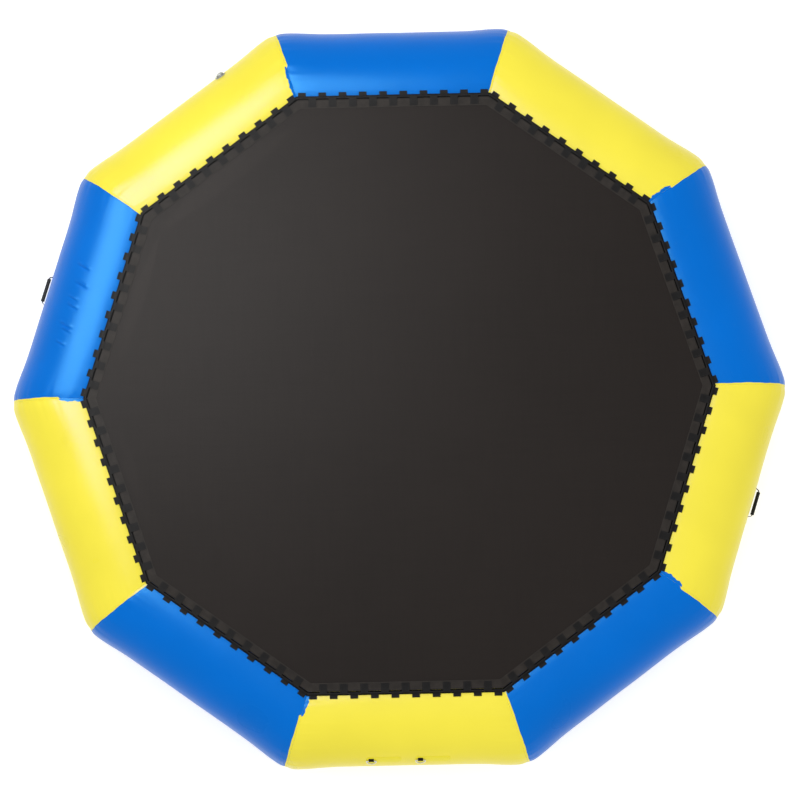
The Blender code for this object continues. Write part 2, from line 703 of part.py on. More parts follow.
def spring_points():
    """A coil from the web up to the stem's button."""
    low = VALVE_WEB_TOP + SPRING_WIRE_RADIUS + FIT_GAP
    high = -SPRING_WIRE_RADIUS - FIT_GAP
    count = SPRING_TURNS * SPRING_POINTS_PER_TURN
    points = []
    for i in range(count + 1):
        angle = 2 * math.pi * i / SPRING_POINTS_PER_TURN
        height = low + (high - low) * i / count
        points.append((SPRING_COIL_RADIUS * math.cos(angle), SPRING_COIL_RADIUS * math.sin(angle), height))
    return points


def cap_mesh():
    """A cup over the collar, with a groove for the tether's eye and a bar to turn it by."""
    groove_top = CAP_TOP - CAP_GROOVE_BELOW_TOP + TETHER_THICKNESS / 2 + FIT_GAP
    groove_low = CAP_TOP - CAP_GROOVE_BELOW_TOP - TETHER_THICKNESS / 2 - FIT_GAP
    floor = COLLAR_TOP + FIT_GAP
    profile = [
        (0.0, CAP_TOP),
        (CAP_RADIUS, CAP_TOP),
        (CAP_RADIUS, groove_top),
        (CAP_RADIUS - CAP_GROOVE_DEPTH, groove_top),
        (CAP_RADIUS - CAP_GROOVE_DEPTH, groove_low),
        (CAP_RADIUS, groove_low),
        (CAP_RADIUS, CAP_BOTTOM),
        (CAP_INNER_RADIUS, CAP_BOTTOM),
        (CAP_INNER_RADIUS, floor),
        (0.0, floor),
    ]
    cup = turned("valve_cap", profile, False)
    low = CAP_TOP - SINK
    high = CAP_TOP + CAP_GRIP_HEIGHT
    half = CAP_GRIP_THICKNESS / 2
    narrow = half * CAP_GRIP_TOP_SHARE
    outline = [(-half, low), (-narrow, high), (narrow, high), (half, low)]
    bar = prism("cap_grip", [outline], -CAP_GRIP_LENGTH / 2, CAP_GRIP_LENGTH / 2)
    return combine(cup, bar, "UNION")


def ring_plate(name, inner, outer, low, high):
    """A flat round plate with a round hole."""
    return turned(name, [(inner, high), (outer, high), (outer, low), (inner, low)], True)


def tether_mesh():
    """An eye round the collar, an eye in the cap's groove, and a strap that bends between them."""
    thick = TETHER_THICKNESS
    low = FIT_GAP + VALVE_FLANGE_THICKNESS + FIT_GAP
    high = CAP_TOP - CAP_GROOVE_BELOW_TOP - thick / 2
    lower_eye = VALVE_COLLAR_RADIUS + FIT_GAP
    upper_eye = CAP_RADIUS - CAP_GROOVE_DEPTH + FIT_GAP
    lower = ring_plate("cap_tether", lower_eye, lower_eye + TETHER_RING_WIDTH, low, low + thick)
    upper = ring_plate("upper_eye", upper_eye, upper_eye + TETHER_RING_WIDTH, high, high + thick)
    lower_root = lower_eye + TETHER_RING_WIDTH / 2
    upper_root = CAP_RADIUS + 2 * FIT_GAP
    reach = CAP_RADIUS + TETHER_REACH
    bend = (high - low) / 2
    outline = [
        (lower_root, low),
        (reach - bend, low),
        (reach, low + bend),
        (reach, high + thick - bend),
        (reach - bend, high + thick),
        (upper_root, high + thick),
        (upper_root, high),
        (reach - bend, high),
        (reach - thick, high + thick - bend),
        (reach - thick, low + bend),
        (reach - bend, low + thick),
        (lower_root, low + thick),
    ]
    strap = prism("strap", [outline], -TETHER_STRAP_WIDTH / 2, TETHER_STRAP_WIDTH / 2)
    return combine(combine(lower, strap, "UNION"), upper, "UNION")


def build_valve():
    """The air valve with its cap."""
    grey = new_material("valve_plastic", VALVE_GREY, 0.45)
    pale = new_material("cap_plastic", VALVE_GREY, 0.4)
    steel = new_material("spring_steel", STEEL, 0.3, 1.0)
    rubber = new_material("tether_rubber", WEBBING_BLACK, 0.6)
    place = skin_matrix(VALVE_SIDE, VALVE_FACET, VALVE_ALONG)
    add("valve_body", valve_body_mesh(), grey, place)
    add("valve_nut", nut_mesh(), grey, place)
    add("valve_stem", stem_mesh(), new_material("stem_plastic", VALVE_GREY, 0.5), place)
    spring = wire("valve_spring", spring_points(), SPRING_WIRE_RADIUS, False, 0)
    add("valve_spring", spring, steel, place)
    add("valve_cap", cap_mesh(), pale, place)
    add("cap_tether", tether_mesh(), rubber, place)


clear_scene()
parts = new_collection("water_bouncer")
build_tube()
build_lacing()
build_handles()
build_rings()
build_valve()
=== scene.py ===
"""Water bouncer: a ten-sided inflatable ring with a laced jump mat, its fittings and a plain pale stage.

Metres, +Z up. A side's axes run along the side, towards the middle of the ring and up, from the tube's
centre line. A skin place is (along the side, distance up the skin, height over it) round a line on the tube.
"""

from math import cos, pi, radians, sin, tan

import bpy
import numpy as np
from bpy.props import FloatProperty, FloatVectorProperty, IntProperty, PointerProperty
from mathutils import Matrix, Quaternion, Vector


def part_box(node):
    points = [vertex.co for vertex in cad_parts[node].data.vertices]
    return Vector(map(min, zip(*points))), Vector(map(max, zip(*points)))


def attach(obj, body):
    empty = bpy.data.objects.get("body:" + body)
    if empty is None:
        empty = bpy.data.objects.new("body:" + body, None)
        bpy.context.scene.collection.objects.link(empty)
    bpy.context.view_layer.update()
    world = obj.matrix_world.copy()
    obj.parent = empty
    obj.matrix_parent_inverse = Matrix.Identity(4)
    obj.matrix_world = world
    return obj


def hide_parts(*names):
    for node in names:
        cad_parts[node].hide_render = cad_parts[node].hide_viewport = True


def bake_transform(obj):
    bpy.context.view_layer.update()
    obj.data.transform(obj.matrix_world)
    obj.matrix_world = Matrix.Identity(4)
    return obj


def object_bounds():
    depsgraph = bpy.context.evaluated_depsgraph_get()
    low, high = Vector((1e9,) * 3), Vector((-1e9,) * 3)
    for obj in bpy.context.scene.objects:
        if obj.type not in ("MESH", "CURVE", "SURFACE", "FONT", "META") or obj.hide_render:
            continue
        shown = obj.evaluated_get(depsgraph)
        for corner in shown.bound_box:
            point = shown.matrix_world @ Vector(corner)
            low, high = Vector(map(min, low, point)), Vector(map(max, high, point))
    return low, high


bl_info = {
    "name": "Water Bouncer",
    "version": (1, 0, 0),
    "blender": (4, 5, 0),
    "location": "3D View > Sidebar > Bouncer",
    "description": "Dresses the packed water bouncer in vinyl, webbing and woven fabric",
    "category": "Object",
}

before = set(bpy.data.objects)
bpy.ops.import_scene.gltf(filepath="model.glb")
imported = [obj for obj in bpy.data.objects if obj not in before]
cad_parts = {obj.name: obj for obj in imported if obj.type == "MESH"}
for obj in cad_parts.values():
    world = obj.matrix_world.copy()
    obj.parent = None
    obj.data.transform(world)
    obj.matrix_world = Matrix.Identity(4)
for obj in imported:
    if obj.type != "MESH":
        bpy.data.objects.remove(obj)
CAD_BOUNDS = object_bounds()
TUBE_LOW, TUBE_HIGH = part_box("tube_segment_03")
CORD_LOW, CORD_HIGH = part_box("lacing_cord")
MAT_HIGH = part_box("jump_mat")[1]
CORD_RADIUS = (CORD_HIGH.z - CORD_LOW.z) / 2

# The clearance between pieces, and the lines on the tube, as angles outwards from its top
FIT = 0.0003
FACET = radians(7.5)
RAIL_LINE = -3 * FACET
HANDLE_LINE = 13 * FACET
LADDER_LINE = 8 * FACET
MOORING_LINE = 18 * FACET
VALVE_LINE = 9 * FACET
HANDLE_SIDES = (5, 10)
LADDER_SIDE = 8
MOORING_SIDES = (2, 4, 7, 9)
VALVE_SIDE = 4
WRINKLED_SIDE = 5
ALONG, UP_SKIN = np.eye(3)[:2]
TUBE_COLUMNS, TUBE_ROWS, WRINKLED_ROWS = 220, 91, 400

# Thickness of webbing, its gap round the cord, the length of the cord's lay and the mat's sag
WEBBING, LOOP_GAP, CORD_LAY, MAT_SAG = 0.0014, 0.0002, 0.045, 0.005
HANDLE_PAD_CORNER, LADDER_PAD_CORNER = 0.025, 0.020
# Distances in from the mat's edge for where it would start to move with a jumper and where it would move
# wholly; the mat operator only turns them into two points that nothing uses
DISH_START, DISH_END = 0.12, 1.05

# Each skin tints its reflections, in linear values
BLUE_SHEEN = (0.22, 0.75, 1.0)
YELLOW_SHEEN = (0.08, 0.10, 1.0)

# Blue tongues at the corners after the blue sides: their reach past the seam, and the angle where they start
SEAM_TONGUES = {1: (0.019, -0.10), 3: (0.016, -0.21), 5: (0.016, -0.06), 7: (0.017, 0.00), 9: (0.023, -0.08)}
TONGUE_END = 0.56
# The least reach of a lap and of a tongue, and the reach below which both thin out
LEAST_LAP, LEAST_TONGUE, THIN_BELOW = 0.0001, 0.0015, 0.005
# Where the skin swells beside a seam, and how wide the swelling, the narrowing and the groove are
SWELL_PLACE, SWELL_WIDTH, NARROW_WIDTH, GROOVE_WIDTH, GROOVE_DEPTH = 0.09, 0.13, 0.030, 0.010, 0.0009
# How far the puckers reach from a seam, where they start, and how far the skin stays smooth round the rail
PUCKER_REACH, PUCKER_START, SMOOTH_ARC, UNEVENNESS = 0.055, 0.012, 0.13, 0.0006
# Small folds in the skin of one side: place along it, angle from its top, width, half arc and height
SKIN_FOLDS = (
    (-0.176, -0.37, 0.0080, 0.130, 0.0085),
    (-0.070, -0.30, 0.0085, 0.120, 0.0090),
    (0.018, -0.39, 0.0070, 0.100, 0.0070),
    (0.065, -0.35, 0.0080, 0.105, 0.0080),
    (0.182, -0.36, 0.0085, 0.125, 0.0085),
    (0.212, -0.33, 0.0070, 0.100, 0.0070),
    (0.294, -0.36, 0.0070, 0.090, 0.0070),
)


def metres(name, description, default):
    """A length that a user can change."""
    return FloatProperty(name=name, description=description, default=default, unit="LENGTH")


def linear_colour(name, description, default):
    """A colour that a user can change, as linear values."""
    about = {"name": name, "description": description, "default": default}
    return FloatVectorProperty(**about, subtype="COLOR", min=0, max=1)


class RingSizes(bpy.types.PropertyGroup):
    """Sizes of the inflated ring."""

    sides: IntProperty(name="Sides", description="Lengths of tube in the ring", default=10, min=3)
    width: metres("Width", "Across opposite corners, outside", 4.572)
    tube_radius: metres("Tube Radius", "Radius of the inflated tube", (TUBE_HIGH.z - TUBE_LOW.z) / 2)
    wall: metres("Wall", "Thickness of the vinyl", 0.001)
    lap_width: metres("Lap Width", "How far yellow laps over blue at a seam", 0.011)
    lap_thickness: metres("Lap Thickness", "Thickness of a lap", 0.0011)
    pucker: metres("Pucker", "Height of the small folds beside a seam", 0.0013)
    swelling: metres("Swelling", "How far the outer side swells near a seam", 0.010)
    narrowing: metres("Narrowing", "How far the seam draws the outer side in", 0.0095)


class LacingSizes(bpy.types.PropertyGroup):
    """Sizes of the webbing, the cord and the mat."""

    loops: IntProperty(name="Loops", description="Webbing loops on each side of the tube", default=10, min=2)
    loop_width: metres("Loop Width", "Width of a loop", 0.045)
    webbing: metres("Webbing", "Thickness of a loop", WEBBING)
    cord_radius: metres("Cord Radius", "Radius of the lacing cord", CORD_RADIUS)
    cord_height: metres("Cord Height", "Height of the cord's middle", (CORD_HIGH.z + CORD_LOW.z) / 2)
    cord_apothem: metres("Cord Distance", "From the ring's middle to the cord", CORD_HIGH.y - CORD_RADIUS)
    corner_clearance: metres("Corner Clearance", "From a corner to the nearest loop", 0.008)
    tube_tail: metres("Tube Loop Tail", "Sewn length of a loop on the tube", 0.030)
    mat_tail: metres("Mat Loop Tail", "Sewn length of a loop on the mat", 0.055)
    rail_width: metres("Rail Width", "Width of the webbing on the tube", 0.025)
    rail_past_cord: metres("Rail Reach", "How far it reaches past the cord", 0.016)
    rail_thickness: metres("Rail Thickness", "Thickness of that webbing", 0.0015)
    hem_width: metres("Hem Width", "Width of the mat's webbing hem", 0.050)
    mat_apothem: metres("Mat Distance", "From the mat's middle to its edge", MAT_HIGH.y)
    mat_top: metres("Mat Height", "Height of the mat's top", MAT_HIGH.z)
    mat_thickness: metres("Mat Thickness", "Thickness of the fabric", 0.0015)


class FittingSizes(bpy.types.PropertyGroup):
    """Sizes of the handles, rings and valve."""

    patch: metres("Patch", "Thickness of a patch", 0.0015)
    handle_patch_length: metres("Handle Patch Length", "Along the tube", 0.300)
    handle_patch_height: metres("Handle Patch Height", "Round the tube", 0.090)
    handle_span: metres("Handle Span", "Length of the strap off the skin", 0.150)
    handle_run: metres("Handle Rise", "Length in which the strap rises", 0.018)
    handle_foot: metres("Handle Foot", "Sewn length at each end", 0.045)
    handle_standoff: metres("Handle Stand-off", "Height of the strap over the skin", 0.028)
    strap_width: metres("Strap Width", "Width of the strap", 0.018)
    strap_thickness: metres("Strap Thickness", "Thickness of the strap", 0.003)
    grip_length: metres("Grip Length", "Length of a grip", 0.140)
    grip_radius: metres("Grip Radius", "Radius of a grip", 0.011)
    grip_bore: metres("Grip Bore", "Radius of its bore", 0.0095)
    ring_patch_radius: metres("Ring Patch", "Radius of the patch under a ring", 0.060)
    ring_half_width: metres("Ring Half Width", "To the middle of the wire", 0.028)
    ring_corner: metres("Ring Corner", "Radius at the ends of the bar", 0.006)
    ring_wire: metres("Ring Wire", "Radius of the wire", 0.003)
    keeper_width: metres("Keeper Width", "Webbing that holds a ring", 0.030)
    keeper_tail: metres("Keeper Tail", "Sewn length of that webbing", 0.018)
    ladder_along: metres("Ladder Place", "Middle of the ladder's rings along their side", -0.065)
    ladder_spacing: metres("Ladder Spacing", "Half the distance between the rings", 0.143)
    ladder_pad_length: metres("Ladder Patch Length", "Along the tube", 0.205)
    ladder_pad_height: metres("Ladder Patch Height", "Round the tube", 0.060)
    ladder_pad_shift: metres("Ladder Patch Shift", "From a ring to its patch's middle", 0.0725)
    valve_along: metres("Valve Place", "The valve along its side", -0.300)


class FinishColours(bpy.types.PropertyGroup):
    """Colours of the finishes."""

    blue: linear_colour("Blue", "Blue vinyl", (0.0, 0.148, 0.630))
    yellow: linear_colour("Yellow", "Yellow vinyl", (0.96, 0.830, 0.058))
    bright_yellow: linear_colour("Bright Yellow", "Patches", (0.92, 0.80, 0.02))
    mat: linear_colour("Mat", "Woven fabric", (0.0172, 0.0133, 0.0116))
    hem: linear_colour("Hem", "Webbing hem of the mat", (0.027, 0.0225, 0.0195))
    webbing: linear_colour("Webbing", "Black webbing", (0.0075, 0.0070, 0.0072))
    cord: linear_colour("Cord", "Black cord", (0.010, 0.009, 0.009))
    rubber: linear_colour("Rubber", "Grips and tether", (0.012, 0.012, 0.012))
    grey: linear_colour("Grey Plastic", "Valve", (0.393, 0.406, 0.393))
    steel: linear_colour("Steel", "Rings and spring", (0.60, 0.61, 0.62))


def ring():
    return bpy.context.scene.bouncer_ring


def lacing():
    return bpy.context.scene.bouncer_lacing


def fittings():
    return bpy.context.scene.bouncer_fittings


def colours():
    return bpy.context.scene.bouncer_colours


# Surfaces: every shape is a grid of points, whose rows run along it and whose columns go round it


def points_at(x, y, z):
    """Points from their x, y and z, which are numbers or arrays."""
    return np.stack(np.broadcast_arrays(x, y, z), -1)


def whole_turn(count):
    """So many angles evenly round a circle."""
    return np.linspace(0, 2 * pi, count, endpoint=False)


def unit(arrows):
    return arrows / np.linalg.norm(arrows, axis=1)[:, None]


def bell(distance, width, power=2):
    """A bell curve: 1 at no distance, and steeper with a higher power."""
    return np.exp(-((distance / width) ** power))


def run_length(points):
    """The length along a closed line of points, from 0 at its first point to the whole line's."""
    steps = np.linalg.norm(np.roll(points, -1, axis=0) - points, axis=1)
    return np.concatenate(([0.0], np.cumsum(steps)))


def grid_shape(points, closed=False, caps=True):
    """A grid of points (rows, columns, 3) as a dict of points, faces and UVs in metres.

    Each face joins points (i, j), (i, j+1), (i+1, j+1) and (i+1, j), and the last column joins the first. A
    closed shape joins its last row to its first, and caps close the end rows of an open one.
    """
    rows, columns = points.shape[:2]
    i = np.arange(rows if closed else rows - 1)[:, None]
    j = np.arange(columns)[None, :]
    corners = ((i, j), (i, j + 1), (i + 1, j + 1), (i + 1, j))
    faces = np.stack([(a % rows) * columns + b % columns for a, b in corners], -1).reshape(-1, 4).tolist()
    run, across = run_length(points[:, 0]), run_length(points[0])
    uvs = [np.stack(np.broadcast_arrays(run[a], across[b]), -1) for a, b in corners]
    uvs = np.stack(uvs, -2).reshape(-1, 2)
    points = points.reshape(-1, 3)
    if caps and not closed:
        first = list(range(columns))[::-1]
        last = list(range((rows - 1) * columns, rows * columns))
        faces += [first, last]
        uvs = np.concatenate((uvs, points[first + last, :2]))
    return outward({"points": points, "faces": faces, "uv": uvs})


def outward(shape):
    """Turns a closed shape's faces so that they point out: its volume, summed over fans, is positive."""
    points, faces = shape["points"], shape["faces"]
    a, b, c, d = points[np.array([face for face in faces if len(face) == 4])].swapaxes(0, 1)
    volume = (a * (np.cross(b, c) + np.cross(c, d))).sum()
    for fan in (points[face] for face in faces if len(face) != 4):
        volume += (fan[0] * np.cross(fan[1:-1], fan[2:])).sum()
    if volume > 0:
        return shape
    ends = np.cumsum([len(face) for face in faces])
    order = np.concatenate([np.arange(end - len(face), end)[::-1] for end, face in zip(ends, faces)])
    return {"points": points, "faces": [face[::-1] for face in faces], "uv": shape["uv"][order]}


def joined(shapes):
    """Several shapes as one."""
    starts = np.cumsum([0] + [len(s["points"]) for s in shapes])
    return {
        "points": np.concatenate([s["points"] for s in shapes]),
        "faces": [[v + int(start) for v in face] for s, start in zip(shapes, starts) for face in s["faces"]],
        "uv": np.concatenate([s["uv"] for s in shapes]),
    }


def moved(shape, origin, axes):
    """A shape whose own coordinates are laid on the three axes from the origin."""
    return outward({**shape, "points": origin + shape["points"] @ axes})


def new_piece(name, shape, finish, slot, replaces=None, body="ring", sharp=35):
    """A mesh object at the origin, from a shape, that rides on a body."""
    mesh = bpy.data.meshes.new(name)
    counts = np.array([len(face) for face in shape["faces"]])
    mesh.vertices.add(len(shape["points"]))
    mesh.vertices.foreach_set("co", shape["points"].astype(np.float32).ravel())
    mesh.loops.add(int(counts.sum()))
    mesh.loops.foreach_set("vertex_index", np.concatenate(shape["faces"]).astype(np.int32))
    mesh.polygons.add(len(counts))
    mesh.polygons.foreach_set("loop_start", (np.cumsum(counts) - counts).astype(np.int32))
    mesh.update(calc_edges=True)
    if mesh.validate():
        raise RuntimeError(f"{name} has a broken face")
    mesh.uv_layers.new(name="surface").data.foreach_set("uv", shape["uv"].astype(np.float32).ravel())
    mesh.materials.append(finish)
    mesh.shade_smooth()
    mesh.set_sharp_from_angle(angle=radians(sharp))
    piece = bpy.data.objects.new(name, mesh)
    bpy.context.scene.collection.objects.link(piece)
    if replaces:
        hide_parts(replaces)
    if body:
        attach(piece, body)
    return piece


# Places: the axes of a side and of its skin


def all_sides():
    return range(1, ring().sides + 1)


def half_turn():
    return pi / ring().sides


def centre_line():
    """From the ring's middle to the tube's centre line, at the middle of a side."""
    return ring().width / 2 * cos(half_turn()) - ring().tube_radius


def side_axes(side):
    """Origin on the tube's centre line, and axes along the side, towards the middle and up."""
    angle = (2 * side - 1) * half_turn()
    out = np.array((cos(angle), sin(angle), 0.0))
    origin = out * centre_line() + np.array((0.0, 0.0, ring().tube_radius))
    return origin, np.array(((-sin(angle), cos(angle), 0.0), -out, (0.0, 0.0, 1.0)))


def from_middle(side, along, out, height):
    """Points of a side from how far they lie along it, out from the ring's middle and up."""
    return points_at(along, -out, height) @ side_axes(side)[1]


def tilted(axes, angle):
    """Axes turned about their own X."""
    x, y, z = axes
    return np.stack((x, y * cos(angle) + z * sin(angle), z * cos(angle) - y * sin(angle)))


def skin_axes(side, line, along=0.0, height=0.0):
    """Origin on the skin, and axes along the side, up the skin and out of it."""
    origin, axes = side_axes(side)
    axes = tilted(axes, line)
    return origin + axes[0] * along + axes[2] * (ring().tube_radius + height), axes


def on_side(shape, *place):
    """A shape that is set on the skin of a side, at a line, and at a place along it and a height."""
    return moved(shape, *skin_axes(*place))


def half_length(angle, radius):
    """Half the tube's length at an angle inwards from its top: the ring's corner planes cut it there."""
    return (centre_line() - radius * np.sin(angle)) * tan(half_turn()) - FIT / 2 / cos(half_turn())


def skin_radius(side, along, angle):
    """The tube's radius: a circle that swells and then narrows to a seam, with puckers and a few folds.

    The swelling, the narrowing and the groove at the seam are bell curves of the distance from it, and the
    first two act on the outer side. The puckers are three sines round the tube that die away from the seam.
    A fold is a bell curve along the side times one round the tube, sheared, with a dent beside it.
    """
    base = ring().tube_radius
    away = np.maximum(half_length(angle, base) - np.abs(along), 0.0)
    phase = 1.7 * side + 2.3 * np.where(along > 0, 1.0, -1.0)
    waves = ((23, 1.0, 1.0), (37, -2.1, 0.7), (59, 3.0, 0.4))
    puckers = sum(height * np.sin(count * angle + shift * phase) for count, shift, height in waves)
    off_rail = 1 - bell(angle + RAIL_LINE, SMOOTH_ARC)
    swell = ring().swelling * bell(away - SWELL_PLACE, SWELL_WIDTH)
    swell = swell - ring().narrowing * bell(away, NARROW_WIDTH)
    radius = base + swell * ((1 - np.sin(angle)) / 2) ** 2 - GROOVE_DEPTH * bell(away, GROOVE_WIDTH)
    puckers = puckers * np.exp(-away / PUCKER_REACH) * (1 - np.exp(-away / PUCKER_START))
    slow = UNEVENNESS * np.sin(5 * along / base + side) * np.sin(3 * angle + side)
    radius = radius + (ring().pucker * puckers + slow) * off_rail
    if side == WRINKLED_SIDE:
        for place, turn, width, half_arc, height in SKIN_FOLDS:
            # The angle from the fold, between -pi and pi
            round_ = (angle - turn + pi) % (2 * pi) - pi
            across = along - place - 0.07 * round_
            fold = bell(across, width) - 0.45 * bell(across - 1.7 * width, width)
            radius = radius + height * fold * bell(round_, half_arc, 4)
    return radius


def on_skin(side, line, along, places, radius=None):
    """Points (along, up the skin, height) round a line of the skin, as world points on its circle."""
    origin, axes = side_axes(side)
    x, up, height = np.moveaxis(places, -1, 0)
    x = along + x
    turn = line - up / ring().tube_radius
    out = (skin_radius(side, x, -turn) if radius is None else radius) + height
    return origin + points_at(x, -out * np.sin(turn), out * np.cos(turn)) @ axes


def ribbon(path, width, thickness, axis):
    """A flat strip with rounded edges carried along a plane path, with its width along the axis.

    The section is a box whose short sides are three points on a shallow arc.
    """
    normal = np.cross(unit(np.gradient(path, axis=0)), axis)
    half, thick = width / 2, thickness / 2
    edge = half - 0.6 * thick
    section = ((-edge, -thick), (edge, -thick), (half, 0), (edge, thick), (-edge, thick), (-half, 0))
    section = np.array(section)
    return grid_shape(path[:, None] + section[:, :1] * axis + section[:, 1:] * normal[:, None])


def rod(path, radius, columns=12, closed=True):
    """A round section carried along a path, of one radius or of one for each row and column."""
    ahead = np.roll(path, -1, axis=0) - np.roll(path, 1, axis=0) if closed else np.gradient(path, axis=0)
    ahead = unit(ahead)
    side = unit(np.cross(ahead, (0.0, 0.0, 1.0)))
    turn = whole_turn(columns)
    across = (radius * np.cos(turn))[..., None] * side[:, None]
    up = (radius * np.sin(turn))[..., None] * np.cross(side, ahead)[:, None]
    return grid_shape(path[:, None] + across + up, closed=closed)


def turned(profile, steps, ripple=None):
    """A closed profile of (radius, height) points turned round Z, with its points on the axis made one."""
    radius, height = np.array(profile, float).T
    turn = whole_turn(steps)[:, None]
    if ripple is not None:
        radius = radius + ripple(turn, radius)
    return welded(grid_shape(points_at(radius * np.cos(turn), radius * np.sin(turn), height), closed=True))


def welded(shape):
    """A shape with the points that coincide made one, and the faces that lose their area dropped."""
    keys = np.round(shape["points"] / 1e-6).astype(np.int64)
    _, first, index = np.unique(keys, axis=0, return_index=True, return_inverse=True)
    index = index.reshape(-1)
    faces, uvs, start = [], [], 0
    for face in shape["faces"]:
        ids = [int(index[v]) for v in face]
        rows = [k for k in range(len(ids)) if ids[k] != ids[k - 1]]
        if len({ids[k] for k in rows}) > 2:
            faces.append([ids[k] for k in rows])
            uvs.append(shape["uv"][[start + k for k in rows]])
        start += len(face)
    return outward({"points": shape["points"][first], "faces": faces, "uv": np.concatenate(uvs)})


def rounded(profile, radius):
    """A closed outline whose corners are arcs: each corner is cut back by the radius along both sides."""
    profile = np.array(profile, float)
    t = np.linspace(0, 1, 4)[:, None]
    arcs = []
    for corner, *ends in zip(profile, np.roll(profile, 1, axis=0), np.roll(profile, -1, axis=0)):
        cut = min(radius, *(np.linalg.norm(end - corner) * 0.45 for end in ends))
        start, end = (corner + (end - corner) / np.linalg.norm(end - corner) * cut for end in ends)
        arcs.append((1 - t) ** 2 * start + 2 * t * (1 - t) * corner + t**2 * end)
    return np.concatenate(arcs)


def plate(outline, thickness):
    """A patch: rings of a closed outline shrunk towards its middle, flat below, with a rounded rim above."""
    rim = 0.0006 / np.abs(outline).max()
    shares = np.linspace(0, 1, 8)
    share = np.concatenate((shares, (1.0, 1 - 0.4 * rim, 1 - 1.2 * rim), shares[-2::-1]))[:, None]
    height = thickness * np.repeat((0.0, 0.55, 0.85, 1.0), (8, 1, 1, 8))[:, None]
    return welded(grid_shape(points_at(share * outline[:, 0], share * outline[:, 1], height), caps=False))


def rounded_rectangle(length, height, corner, steps=8):
    """The outline of a rectangle with quarter circles for corners."""
    points = []
    for quarter, signs in enumerate(((1, 1), (-1, 1), (-1, -1), (1, -1))):
        turn = pi / 2 * (quarter + np.linspace(0, 1, steps + 1))
        middle = np.array(signs) * (length / 2 - corner, height / 2 - corner)
        points.append(middle + corner * np.stack((np.cos(turn), np.sin(turn)), -1))
    return np.concatenate(points)


def smooth_path(points, count):
    """Points (0, y, z) spaced evenly by length along a smooth curve through (y, z) ones, by cubic blends."""
    points = np.array(points, float)
    ends = np.concatenate((2 * points[:1] - points[1:2], points, 2 * points[-1:] - points[-2:-1]))
    t = np.linspace(0, 1, 12, endpoint=False)[:, None]
    a, b, c, d = (ends[k : len(ends) - 3 + k, None] for k in range(4))
    curve = 0.5 * (2 * b + (c - a) * t + (2 * a - 5 * b + 4 * c - d) * t**2 + (3 * b - a - 3 * c + d) * t**3)
    dense = np.concatenate((curve.reshape(-1, 2), points[-1:]))
    length = run_length(dense)[:-1]
    even = np.linspace(0, length[-1], count)
    return points_at(0.0, *(np.interp(even, length, axis) for axis in dense.T))


def arc(centre, radius, start, end, count=9):
    """Points round a centre, from one angle to another in degrees."""
    turn = np.radians(np.linspace(start, end, count))
    return [(centre[0] + radius * cos(a), centre[1] + radius * sin(a)) for a in turn]


# The inflated ring


def tube_shape(side, rows):
    """One length of tube: a circle carried between two corner planes, and the same inside for its wall.

    Rows crowd towards the ends, at shares 1 - (1 - t)^1.7 of the half length.
    """
    base, wall = ring().tube_radius, ring().wall
    t = np.linspace(-1, 1, rows)
    shares = np.sign(t) * (1 - (1 - np.abs(t)) ** 1.7)
    angle = whole_turn(TUBE_COLUMNS)
    outer = skin_radius(side, shares[:, None] * half_length(angle, base), angle)
    rim = outer[:1] - wall
    deep = np.full_like(rim, base - 8 * wall)
    radius = np.concatenate((outer, rim, deep, deep, deep, rim))
    share = np.concatenate((shares, (1.0, 0.9, 0.0, -0.9, -1.0)))[:, None]
    height = np.maximum(radius * np.cos(angle), FIT - base)
    points = points_at(share * half_length(angle, radius), radius * np.sin(angle), height)
    return moved(grid_shape(points, closed=True), *side_axes(side))


def tongue_share(corner, angle):
    """1 where the blue tongue of a corner lies, from its start to just past the tube's webbing, else 0."""
    if corner not in SEAM_TONGUES:
        return np.zeros_like(angle)
    start = SEAM_TONGUES[corner][1]
    middle, half = (TONGUE_END + start) / 2, (TONGUE_END - start) / 2
    return np.clip(1 - ((angle - middle) / half) ** 2, 0, 1) ** 0.3


def strip_on_seam(side, end, angle, reach, closed=True):
    """A thin strip from the seam at one end of a side, along its skin by a reach at each angle.

    Where it reaches less than 5 mm it thins out with its reach.
    """
    shares = np.array((0.0, 0.35, 0.7, 1.0, 1.0, 0.985, 0.7, 0.35, 0.0))
    heights = np.array((0.03, 0.03, 0.03, 0.03, 0.6, 1.0, 1.0, 0.9, 0.08)) * ring().lap_thickness
    heights = heights * np.clip(reach / THIN_BELOW, 0.03, 1.0)
    base = skin_radius(side, end * 10.0 * np.ones_like(angle), angle)
    along = end * (half_length(angle, base) - shares * reach)
    radius = skin_radius(side, along, angle) + heights
    height = np.maximum(radius * np.cos(angle), -ring().tube_radius)
    points = points_at(along, radius * np.sin(angle), height)
    return moved(grid_shape(points, closed=closed), *side_axes(side))


def lap_shape(corner):
    """The strip in which the yellow skin laps over the blue one at a corner, all round the tube.

    Its reach is the lap's width with a ragged edge, sines round the tube, less what a blue tongue covers.
    """
    odd = corner % 2
    angle = np.linspace(-pi, pi, 240, endpoint=False)[:, None]
    ragged = 0.0012 * np.sin(9 * angle + corner) + 0.0006 * np.sin(26 * angle + 2 * corner)
    reach = LEAST_LAP + (ring().lap_width + ragged) * np.maximum(1 - 1.6 * tongue_share(corner, angle), 0)
    return strip_on_seam(corner if odd else corner % ring().sides + 1, 1.0 if odd else -1.0, angle, reach)


def tongue_shape(corner):
    """The blue tongue over the yellow skin beside the mat: a blunt bump with a ragged edge."""
    size, start = SEAM_TONGUES[corner]
    angle = np.linspace(start, TONGUE_END, 90)[:, None]
    ragged = 1 + 0.16 * np.sin(29 * angle + corner) + 0.10 * np.sin(67 * angle + 3 * corner)
    reach = LEAST_TONGUE + size * tongue_share(corner, angle) * ragged
    return strip_on_seam(corner % ring().sides + 1, -1.0, angle, reach, closed=False)


# The lacing


